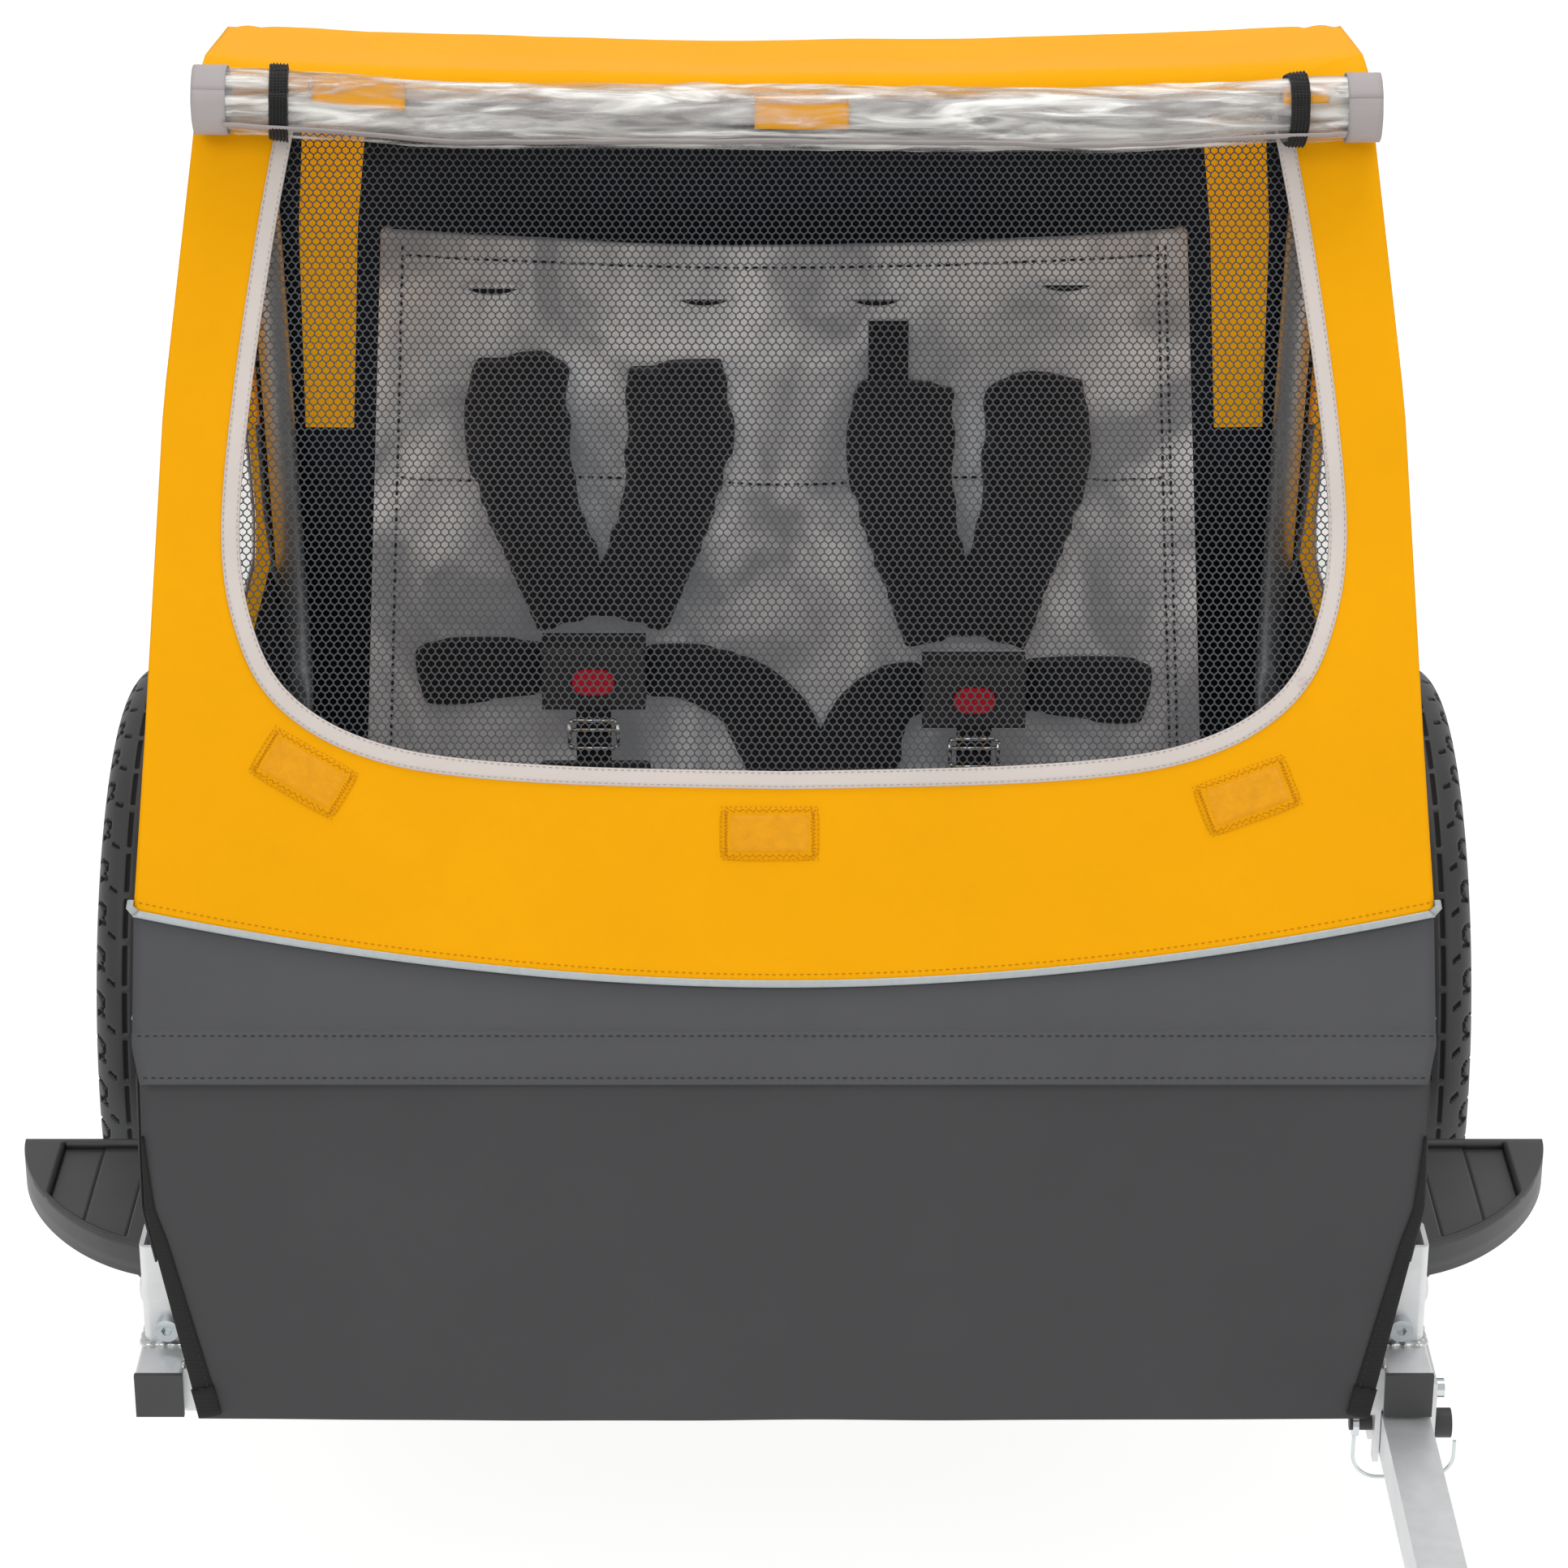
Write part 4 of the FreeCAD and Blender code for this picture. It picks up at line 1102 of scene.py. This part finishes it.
def make_rear():
    us = spaced(-1, -0.786, 9) + spaced(-0.785, 0.785, 64) + spaced(0.786, 1, 9)
    stop = S_CREST + STRIP_LENGTH
    pocket_top = S_CREST + 0.37

    def pick(u, s):
        return 0 if abs(u) > 0.7855 and s < stop else 1

    ss = spaced(S_CREST + 0.018, stop, 50) + spaced(stop + 0.0005, S_LOW, 40)
    obj = grid_object("rear_cover_cloth", us, ss, lambda u, s: skin(strip_edge(u, s) * 0.999, s, -0.0004),
                      ["yellow", "panel"], pick, 0.0011)
    soft(obj)
    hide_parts("rear_cover", "rear_panel")
    for sign, name in ((-1, "r"), (1, "l")):
        line = [skin(strip_edge(sign * 0.7855, s), s, 0.0008) for s in spaced(S_CREST + 0.03, stop, 60)]
        soft(tube_object("rear_piping_" + name, line, 0.0014, "piping", 8))
    seam = stop + 0.002
    row = [[(skin(u, seam, 0.0008), outward(seam)) for u in spaced(-0.99, 0.99, 120)]]
    soft(stitch_object("rear_stitches", row, "stitch_grey"))
    pocket = grid_object(
        "rear_pocket", spaced(-0.72, 0.72, 60), spaced(0, 1, 16),
        lambda u, t: skin(u, pocket_top + 0.19 * t,
                          0.002 + 0.012 * math.sin(math.pi * min(1, t * 1.02)) ** 0.6
                          * (1 - abs(u / 0.72) ** 6)),
        "flap", thickness=0.001,
    )
    soft(pocket)
    hem = [skin(u, pocket_top, 0.003) for u in spaced(-0.72, 0.72, 80)]
    soft(ribbon_object("pocket_binding", hem, [outward(pocket_top)] * len(hem), 0.010, 0.0012, "binding"))
    us = spaced(-0.985, -0.902, 4) + spaced(-0.90, -0.787, 6) + spaced(-0.785, 0.785, 50)
    us += spaced(0.787, 0.90, 6) + spaced(0.902, 0.985, 4)
    ss = spaced(S_CREST + 0.03, stop, 20) + spaced(stop + 0.001, S_LOW - 0.01, 20)
    # the yellow corner strips of this lining glow: painted light standing in for daylight through the yellow
    # cloth
    lining = grid_object("rear_lining", us, ss, lambda u, s: skin(strip_edge(u, s), s, -0.0030),
                         ["yellow_in_painted_glow", "navy"],
                         lambda u, s: 0 if 0.786 < abs(u) < 0.901 and s < stop + 0.0005 else 1)
    soft(lining)


def make_floor():
    lo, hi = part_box("floor_panel")

    def place(u, v):
        x = lo[0] + (hi[0] - lo[0]) * u
        y = lo[1] + (hi[1] - lo[1]) * v
        hang = 0.006 * math.sin(math.pi * u) * abs(math.sin(math.pi * v * 1.6))
        return Vector((x, y, hi[2] - 0.0002 - hang * (0.4 + 0.6 * math.sin(math.pi * u))))

    obj = grid_object("floor_cloth", spaced(0, 1, 60), spaced(0, 1, 60), place, "panel", thickness=0.001)
    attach(obj, ROOT)
    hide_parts("floor_panel")


# ------------------------------------------------------------------ seat and harness

def crease(a, b, depth, seed):
    """Long soft folds that run across a, with sharp crests."""
    n = noise.noise(Vector((a * 26, b * 7, seed))) + 0.4 * noise.noise(Vector((a * 60, b * 14, seed + 3)))
    return depth * (0.5 - abs(n)) ** 2


def seat_place(u, v):
    """Front of the seat back: u across, v from 0 at the bottom to 1 at the top."""
    lo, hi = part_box("seat_back")
    z = lo[2] + (hi[2] - lo[2]) * v
    half = 0.2570 + (0.2340 - 0.2570) * v
    dip = 0.010 * (1 - u * u) * v ** 4
    slack = ripple((u * 0.25, 0.3, v * 0.4), 9.0, 0.0035, 1.0)
    slack += (crease(u * 0.25 + v * 0.16, v * 0.30, 0.0050, 1.0)
              + crease(u * 0.25 - v * 0.20, v * 0.34, 0.0045, 5.0))
    slack += crease(v * 0.42, u * 0.12, 0.0030, 9.0)
    edge = min(1.0, (1 - abs(u)) * 9, (1 - v) * 9 + 0.15)
    belly = 0.010 * math.sin(math.pi * min(1, v * 0.95)) * (1 - u * u) * math.cos(u * 6.2) * 0.6
    band = 0.0012 if abs(u) > 0.953 else 0.0
    return Vector((half * u, lo[1] + 0.001 - (0.004 + belly + slack) * max(0, edge) - band, z - dip))


def make_seat():
    obj = grid_object("seat_back_cloth", spaced(-1, 1, 170), spaced(0, 1, 130), seat_place, "seat",
                      thickness=0.009)
    soft(obj, SEAT_KEEP)
    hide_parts("seat_back")
    proud = Vector((0, 0.0006, 0))
    rows = []
    for u in (-0.944, 0.944, 0.925):
        rows.append([(seat_place(u, v) - proud, FORWARD) for v in spaced(0.02, 0.985, 60)])
    for v in (0.965, 0.60):
        rows.append([(seat_place(u, v) - proud, FORWARD) for u in spaced(-0.94, 0.94, 90)])
    soft(stitch_object("seat_stitches", rows, "stitch_grey", 0.0056, 0.0040, 0.0017), SEAT_KEEP)
    slots = []
    lo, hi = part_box("seat_back")
    for x, z in ((-0.1695, 0.664), (-0.0465, 0.661), (0.0535, 0.660), (0.1640, 0.666)):
        v = (z - lo[2]) / (hi[2] - lo[2])
        p = seat_place(x / 0.2355, v)
        ring = [p + Vector((0.0165 * math.cos(a), -0.0016, 0.0034 * math.sin(a) + 0.0020 * math.cos(a) ** 2))
                for a in (2 * math.pi * k / 32 for k in range(32))]
        slots.append(tube_object("slot_rim_%d" % len(slots), ring, 0.0016, "seat", 8, closed=True))
        verts = [q + Vector((0, -0.0002, 0)) for q in ring] + [p + Vector((0, -0.0014, 0))]
        faces = [(k, (k + 1) % 32, 32) for k in range(32)]
        slots.append(make_object("slot_gap_%d" % len(slots), verts, faces, "webbing"))
    for o in slots:
        soft(o, SEAT_KEEP)


def pillow(name, outline, y_back, depth, mat, cap=0.007, voxel=0.0045):
    """Padded piece: the outline, seen from the front, is blown up as cloth and keeps its sewn edge."""
    bm = bmesh.new()
    start = depth * 0.45
    back = [bm.verts.new((x, y_back, z)) for x, z in outline]
    front = [bm.verts.new((x, y_back - start, z)) for x, z in outline]
    n = len(outline)
    bm.faces.new(back)
    bm.faces.new(front[::-1])
    for i in range(n):
        j = (i + 1) % n
        bm.faces.new((back[j], back[i], front[i], front[j]))
    bmesh.ops.recalc_face_normals(bm, faces=bm.faces)
    mesh = bpy.data.meshes.new(name)
    bm.to_mesh(mesh)
    bm.free()
    obj = bpy.data.objects.new(name, mesh)
    SCENE.collection.objects.link(obj)
    mesh.materials.append(MAT[mat])
    mod = obj.modifiers.new("remesh", "REMESH")
    mod.mode = "VOXEL"
    mod.voxel_size = voxel
    apply_modifiers(obj)
    inflate(obj, cap)
    sub = obj.modifiers.new("smooth", "SUBSURF")
    sub.levels = sub.render_levels = 1
    apply_modifiers(obj)
    obj.data.polygons.foreach_set("use_smooth", [True] * len(obj.data.polygons))
    return obj


CLOTH_FRAMES = 14
CLOTH_PRESSURE = 4.0
CLOTH_STIFFNESS = 12


def inflate(obj, cap):
    """Blows the piece up with air pressure. No point moves further than cap."""
    rest = [v.co.copy() for v in obj.data.vertices]
    cloth = obj.modifiers.new("cloth", "CLOTH")
    cloth.settings.use_pressure = True
    cloth.settings.uniform_pressure_force = CLOTH_PRESSURE
    cloth.settings.effector_weights.gravity = 0.0
    cloth.settings.tension_stiffness = CLOTH_STIFFNESS
    cloth.settings.compression_stiffness = CLOTH_STIFFNESS
    cloth.settings.quality = 4
    cloth.point_cache.frame_start = 1
    cloth.point_cache.frame_end = CLOTH_FRAMES
    for f in range(1, CLOTH_FRAMES + 1):
        SCENE.frame_set(f)
    apply_modifiers(obj)
    SCENE.frame_set(1)
    for v, r in zip(obj.data.vertices, rest):
        d = v.co - r
        if d.length > cap:
            v.co = r + d * (cap / d.length)


def make_harness():
    for name, side, sign in (("r", "right", -1), ("l", "left", 1)):
        lo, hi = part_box("buckle_button_" + side)
        cx, cz = (lo[0] + hi[0]) / 2, (lo[2] + hi[2]) / 2
        make_shoulders(name, cx - sign * 0.005, cz)
        make_waist(name, cx, cz)
        make_crotch(name, cx, cz)
    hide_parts("shoulder_pads")
    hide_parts("waist_pads")
    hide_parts("crotch_pads")
    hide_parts("harness_straps")
    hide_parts("strap_adjusters")
    seat_lo, seat_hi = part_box("seat_base")
    left, right = seat_lo[0], seat_hi[0]
    outline = [(left + 0.008, 0), (right - 0.008, 0), (right - 0.004, 0.13), (right - 0.008, 0.26),
               (left + 0.008, 0.26), (left + 0.004, 0.13)]
    base = pillow("seat_base_cloth", outline, 0, 0.026, "seat", 0.008, 0.007)
    for v in base.data.vertices:
        x, y, z = v.co
        v.co = (x, seat_lo[1] + 0.004 + z, seat_lo[2] + 0.012 - y)
    soft(base, SEAT_KEEP)
    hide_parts("seat_base")


def band_outline(spine, widths, place, peak=None):
    """Closed outline of a band of changing width along a line, with an optional point at its far end."""
    spine = catmull(spine, 6)
    widths = catmull([(w, 0) for w in widths], 6)
    left, right = [], []
    for i, (a, b) in enumerate(spine):
        p = spine[max(0, i - 1)]
        q = spine[min(len(spine) - 1, i + 1)]
        d = Vector((q[0] - p[0], q[1] - p[1])).normalized()
        w = widths[i][0]
        left.append(place(a - d.y * w, b + d.x * w))
        right.append(place(a + d.y * w, b - d.x * w))
    tip = [place(spine[-1][0] + peak[0], spine[-1][1] + peak[1])] if peak else []
    return left + tip + right[::-1]


PAD_PEAKS = {("r", "a"): (-0.013, 0.010), ("l", "b"): (-0.002, 0.009)}


def make_shoulders(name, cx, cz):
    """Two padded sleeves that hang apart at the shoulders and meet above the buckle."""
    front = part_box("shoulder_pads")[0][1]
    for part, side in (("a", -1), ("b", 1)):
        k = 0.84 if name == "l" else 1.0
        spine = [(0.016, 0.026), (0.0255, 0.060), (0.0400, 0.105), (0.0470, 0.150), (0.0450, 0.192)]
        outline = band_outline([(a * k, b) for a, b in spine], (0.0235, 0.0300, 0.0345, 0.0360, 0.0290),
                               lambda a, b: (cx + side * a, cz + b),
                               PAD_PEAKS.get((name, part), (0.0, 0.003)))
        pad = pillow("shoulder_%s_%s" % (name, part), outline, front + 0.0235, 0.022, "pad")
        soft(pad, SEAT_KEEP)
        shows = (name, part) == ("l", "a")
        over = 0.057 if shows else 0.047
        top = Vector((cx + side * over * k, front + 0.017, cz + 0.172))
        out = Vector((cx + side * over * k, front + 0.022, cz + (0.228 if shows else 0.190)))
        strap = ribbon_object("strap_%s_%s" % (name, part), [top, top.lerp(out, 0.5), out],
                              [FORWARD] * 3, 0.0235, 0.0016, "webbing")
        soft(strap, SEAT_KEEP)


def make_waist(name, cx, cz):
    """Hip pads: the outer ones stand out level, the inner ones droop between the two children."""
    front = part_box("waist_pads")[0][1]
    for part, side in (("a", -1), ("b", 1)):
        if (name, part) in (("r", "b"), ("l", "a")):
            k = 1.0 if name == "r" else 0.5
            spine = [(0.028, 0.0), (0.058, -0.004), (0.090, -0.020), (0.110, -0.046), (0.118, -0.074)]
            spine = [(0.028 + (a - 0.028) * k, b) for a, b in spine]
            widths = (0.0165, 0.0205, 0.0255, 0.0275, 0.0220)
        else:
            spine = [(0.028, 0.0), (0.060, -0.001), (0.092, -0.004), (0.107, -0.006)]
            widths = (0.0165, 0.0205, 0.0220, 0.0170)
        outline = band_outline(spine, widths, lambda a, b: (cx + side * a, cz + b))
        pad = pillow("waist_%s_%s" % (name, part), outline, front + 0.024, 0.022, "pad")
        soft(pad, SEAT_KEEP)


def make_crotch(name, cx, cz):
    lo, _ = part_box("crotch_pads")
    top = cz - 0.048
    outline = [(cx - 0.034, top), (cx + 0.034, top), (cx + 0.037, top - 0.022), (cx + 0.030, top - 0.044),
               (cx - 0.030, top - 0.044), (cx - 0.037, top - 0.022)]
    pad = pillow("crotch_" + name, outline, lo[1] + 0.034, 0.030, "pad")
    soft(pad, SEAT_KEEP)
    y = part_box("strap_adjusters")[0][1]
    drops = ((0.004, 0.016), (0.0035, 0.034), (-0.002, 0.058))
    tape = [Vector((cx, y + dy, cz - drop)) for dy, drop in drops]
    soft(ribbon_object("crotch_strap_" + name, tape, [FORWARD] * 3, 0.021, 0.0016, "webbing"),
         SEAT_KEEP)
    bars = []
    w, h0, h1 = 0.0145, cz - 0.0225, cz - 0.0405
    loop = [(-w + 0.002, h0), (w - 0.002, h0), (w, h0 - 0.002), (w, h1 + 0.002), (w - 0.002, h1),
            (-w + 0.002, h1), (-w, h1 + 0.002), (-w, h0 - 0.002), (-w + 0.002, h0)]
    for (x0, z0), (x1, z1) in zip(loop, loop[1:]):
        bars.append([Vector((cx + x0, y, z0)), Vector((cx + x1, y, z1))])
    bars.append([Vector((cx - w, y, cz - 0.0285)), Vector((cx + w, y, cz - 0.0285))])
    verts, faces = [], []
    for a, b in bars:
        piece = tube_object("bar", [a, b], 0.0014, "zinc", 8)
        k = len(verts)
        verts += [v.co.copy() for v in piece.data.vertices]
        faces += [tuple(k + i for i in p.vertices) for p in piece.data.polygons]
        bpy.data.objects.remove(piece)
    soft(make_object("ladder_" + name, verts, faces, "zinc"), SEAT_KEEP)


# ------------------------------------------------------------------ wheels

SPOKES = 20
TREAD_REPEATS = 44
TREAD_EDGE = math.radians(100)


def tread(angle, w):
    """Depth, 0 to 1, of the tread's grooves at an angle round the wheel and w from -1 to 1 across it."""
    turns = angle / (2 * math.pi) * TREAD_REPEATS
    a = abs(w)
    if a < 0.040:
        return 1.0 if turns % 1.0 < 0.84 else 0.0
    p = (turns + (0.25 if w > 0 else 0.75)) % 1.0
    hook = math.hypot((p - 0.36) / 0.25, (a - 0.66) / 0.24)
    if 0.84 < hook < 1.10 and not (p < 0.36 and a > 0.62):
        return 1.0
    if 0.30 < p < 0.42 and a > 0.88:
        return 1.0
    if abs(p - 0.10 - 0.35 * (a - 0.42)) < 0.045 and 0.40 < a < 0.62:
        return 1.0
    if abs(p - 0.80 - 0.8 * (a - 0.24)) < 0.05 and 0.18 < a < 0.32:
        return 1.0
    return 0.0


def make_tyre(name):
    body = "wheel_" + name
    lo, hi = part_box("tyre_" + name)
    cx, cy, cz = ((lo[i] + hi[i]) / 2 for i in range(3))
    reach = (hi[2] - lo[2]) / 2
    section = []
    for k in range(73):
        w = -1 + 2 * k / 72
        t = w * math.radians(152)
        x = 0.0197 * math.sin(t)
        r = reach - 0.0215 + 0.0215 * math.cos(t)
        section.append((x, r, t))
    n = 1100
    verts, painted_groove_shade = [], []
    for i in range(n):
        a = 2 * math.pi * i / n
        for x, r, t in section:
            w = t / TREAD_EDGE
            cut = 0.0018 * tread(a, w) if abs(w) < 1 else 0.0
            rr = r - cut * math.cos(t * 0.6)
            xx = x - cut * math.sin(t) * 0.6
            verts.append((cx + xx, cy + rr * math.sin(a), cz + rr * math.cos(a)))
    # painted shade: faces inside the grooves get the near-black groove material
    for i in range(n):
        for (_, _, t0), (_, _, t1) in zip(section, section[1:]):
            w = (t0 + t1) / 2 / TREAD_EDGE
            painted_groove_shade.append(1 if abs(w) < 1 and tread(2 * math.pi * (i + 0.5) / n, w) > 0.5 else 0)
    faces = lattice(n, len(section), wrap_rows=True)
    obj = make_object("tread_" + name, verts, faces, ["tyre", "groove"], painted_groove_shade)
    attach(obj, body)
    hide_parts("tyre_" + name)
    rings = []
    for r in (reach - 0.030, reach - 0.0335):
        for side in (-1, 1):
            ring = [(cx + side * 0.0198, cy + r * math.sin(q), cz + r * math.cos(q))
                    for q in (2 * math.pi * k / 160 for k in range(160))]
            label = "tyre_line_%s_%d" % (name, len(rings))
            rings.append(tube_object(label, ring, 0.0007, "tyre", 6, closed=True))
    for o in rings:
        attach(o, body)
    make_wheel_bits(name, body, cx, cy, cz)


def make_wheel_bits(name, body, cx, cy, cz):
    """Valve and spoke nipples."""
    verts, faces = [], []
    for i in range(SPOKES):
        a = 2 * math.pi * i / SPOKES
        add_cone(verts, faces, Vector((cx, cy + 0.1385 * math.sin(a), cz + 0.1385 * math.cos(a))),
                 Vector((0, -math.sin(a), -math.cos(a))), 0.0022, 0.0016, 0.010)
    obj = make_object("nipples_" + name, verts, faces, "zinc")
    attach(obj, body)
    verts, faces = [], []
    a = math.radians(9)
    base = Vector((cx, cy + 0.139 * math.sin(a), cz + 0.139 * math.cos(a)))
    down = Vector((0, -math.sin(a), -math.cos(a)))
    add_cone(verts, faces, base, down, 0.0042, 0.0036, 0.020)
    add_cone(verts, faces, base + down * 0.020, down, 0.0046, 0.0034, 0.009)
    valve = make_object("valve_" + name, verts, faces, "black")
    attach(valve, body)


def add_cone(verts, faces, base, along, r0, r1, length):
    """Adds a closed cone to the lists of points and faces."""
    sides = 10
    side = along.cross(Vector((1, 0, 0.01))).normalized()
    top = side.cross(along).normalized()
    k = len(verts)
    for p, r in ((base, r0), (base + along * length, r1)):
        for i in range(sides):
            t = 2 * math.pi * i / sides
            verts.append(p + side * (r * math.cos(t)) + top * (r * math.sin(t)))
    for i in range(sides):
        j = (i + 1) % sides
        faces.append((k + i, k + j, k + sides + j, k + sides + i))
    faces.append(tuple(k + sides + i for i in range(sides)))
    faces.append(tuple(k + sides - 1 - i for i in range(sides)))


# ------------------------------------------------------------------ wheel guards

def guard_surface(name, sign):
    """Moulded shell: quarter-round top with a recessed tread panel, and a skirt."""
    lo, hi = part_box("wheel_guard_" + name)
    x_in, x_out = (lo[0], hi[0]) if sign > 0 else (-hi[0], -lo[0])
    reach, deep, top = x_out - x_in, hi[1] - lo[1], hi[2]
    steps = [0, 0.0015] + spaced(0.004, 0.0205, 8) + [0.0215, 0.0223] + spaced(0.025, 0.0470, 9)
    steps += [0.0480, 0.0486] + spaced(0.051, 0.0705, 8) + [0.0715, 0.0723] + spaced(0.075, 0.086, 7)
    steps += [0.0875, 0.0890, 0.0905, 0.0920, 0.0932, 0.0942, 0.0948]
    xs = [d for d in steps if d < reach] + [reach]
    rows = [0, 0.0012, 0.003, 0.0045, 0.0052] + [None] * 16 + [-0.0060, -0.0052, -0.0012, 0]

    def height(d, y, front):
        inside = y - front
        behind = deep - y
        if inside < 0.0049 or behind < 0.0056 or d < 0.0219 or d > 0.0719:
            rim = min(inside, behind, 0.0016) / 0.0016
            return top - 0.0009 * (1 - rim) ** 2
        return top - (0.0041 if d > 0.0483 else 0.0034)

    verts = []
    for d in xs:
        front = deep * (1 - max(0.0, 1 - (d / reach) ** 1.7) ** (1 / 1.7))
        gap = deep - front
        ys = []
        for i, r in enumerate(rows):
            share = i / (len(rows) - 1)
            if gap < 0.014:
                ys.append(front + gap * share)
            elif r is None:
                k = (i - 4) / 17
                ys.append(front + 0.0052 + (gap - 0.0112) * k)
            else:
                ys.append(front + r if i < 5 else deep + r)
        line = [Vector((sign * (x_in + d), lo[1] + y, height(d, y, front))) for y in ys]
        skirt = [Vector((line[0].x, line[0].y, hi[2] - k)) for k in (0.0205, 0.012, 0.004)]
        back = [Vector((line[-1].x, line[-1].y, hi[2] - k)) for k in (0.004, 0.012, 0.0205)]
        verts.append(skirt + line + back)
    return verts


def make_guard(name, sign):
    rows = guard_surface(name, sign)
    verts = [v for row in rows for v in row]
    faces = lattice(len(rows), len(rows[0]), turned=True)
    if sign < 0:
        faces = [f[::-1] for f in faces]
    obj = make_object("guard_shell_" + name, verts, faces, "guard")
    split = obj.modifiers.new("crisp", "EDGE_SPLIT")
    split.split_angle = math.radians(28)
    apply_modifiers(obj)
    solidify(obj, 0.0026, -1.0)
    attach(obj, ROOT)
    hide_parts("wheel_guard_" + name)


# ------------------------------------------------------------------ welds and hard trim

def weld(name, path, radius=0.0030):
    """Rippled bead along the foot of a welded plate."""
    verts = []
    steps = walk(path, 0.0011)
    n = 10
    top = Vector((0, 0, 1))
    for i, (p, along) in enumerate(steps):
        side = along.cross(top).normalized()
        r = radius * (0.72 + 0.28 * abs(math.sin(i * 0.55)) + 0.25 * noise.noise(Vector(p) * 260))
        for k in range(n):
            t = 2 * math.pi * k / n
            verts.append(p + side * (r * math.cos(t)) + top * (r * 0.8 * math.sin(t)))
    faces = lattice(len(steps), n, wrap_columns=True)
    faces.append(tuple(range(n))[::-1])
    faces.append(tuple(range((len(steps) - 1) * n, len(steps) * n)))
    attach(make_object(name, verts, faces, "weld"), ROOT)


def make_welds():
    for end in ("front", "rear"):
        for side in ("left", "right"):
            lo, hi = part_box("%s_bracket_%s" % (end, side))
            z = lo[2] + 0.0004
            sign = 1 if side == "left" else -1
            inner, outer = (lo[0], hi[0]) if sign > 0 else (hi[0], lo[0])
            path = [(inner, lo[1], z), (outer, lo[1], z), (outer, hi[1], z), (inner, hi[1], z)]
            path = [(p[0], p[1] + (-0.0006 if p[1] == lo[1] else 0.0006), p[2]) for p in path]
            weld("weld_%s_%s" % (end, side), path)
            foot = Vector((outer, (lo[1] + hi[1]) / 2 - 0.004, lo[2] + 0.029))
            dome("dimple_%s_%s" % (end, side), foot, sign)
    for bar in ("front_crossbar", "axle_crossbar", "rear_crossbar"):
        lo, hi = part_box(bar)
        for end, x in (("r", lo[0]), ("l", hi[0])):
            path = [(x, lo[1] + 0.001, hi[2]), (x, hi[1] - 0.001, hi[2])]
            weld("weld_%s_%s" % (bar, end), path, 0.0019)


def dome(name, foot, sign):
    """Pressed bump on the outside of a bracket."""
    rings, sides = 6, 20
    verts = []
    for k in range(rings):
        t = math.radians(15 * k)
        for i in range(sides):
            a = 2 * math.pi * i / sides
            r = 0.0062 * math.cos(t)
            out = sign * (0.0026 * math.sin(t) - 0.0002)
            verts.append(foot + Vector((out, r * math.cos(a), 1.3 * r * math.sin(a))))
    faces = lattice(rings, sides, wrap_columns=True)
    faces.append(tuple(range((rings - 1) * sides, rings * sides)))
    if sign < 0:
        faces = [f[::-1] for f in faces]
    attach(make_object(name, verts, faces, "silver"), ROOT)


CAD_LOOK = {
    "side_rail": "silver", "front_crossbar": "silver", "axle_crossbar": "silver", "rear_crossbar": "silver",
    "front_bracket": "silver", "rear_bracket": "silver", "side_hoop": "silver", "arm_bracket": "silver",
    "tow_arm": "silver", "pivot_bolts": "zinc", "arm_bolts": "zinc", "lock_pin": "black", "pin_bail": "zinc",
    "hitch_bolt": "zinc", "guard_bolts": "zinc", "axle_left": "zinc", "axle_right": "zinc", "spokes": "zinc",
    "rim": "alu", "hub": "alu", "axle_receivers": "alu", "wheel_guard": "guard", "rail_end_caps": "black",
    "harness_buckles": "black", "hitch_tongue": "black", "pivot_washers": "nylon", "buckle_button": "red",
}


def dress_cad():
    for name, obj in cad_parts.items():
        for key, mat in CAD_LOOK.items():
            if name.startswith(key):
                obj.data.materials.clear()
                obj.data.materials.append(MAT[mat])


def main():
    make_camera()
    make_world()
    MAT.update(make_materials())
    dress_cad()
    make_canopy()
    make_flap()
    make_edge_trim()
    make_window_binding()
    make_mesh_window()
    make_patches()
    make_roll()
    make_front_panel()
    make_side(1, "left")
    make_side(-1, "right")
    make_rear()
    make_floor()
    make_seat()
    make_harness()
    make_tyre("left")
    make_tyre("right")
    make_welds()
    make_guard("left", 1)
    make_guard("right", -1)


main()
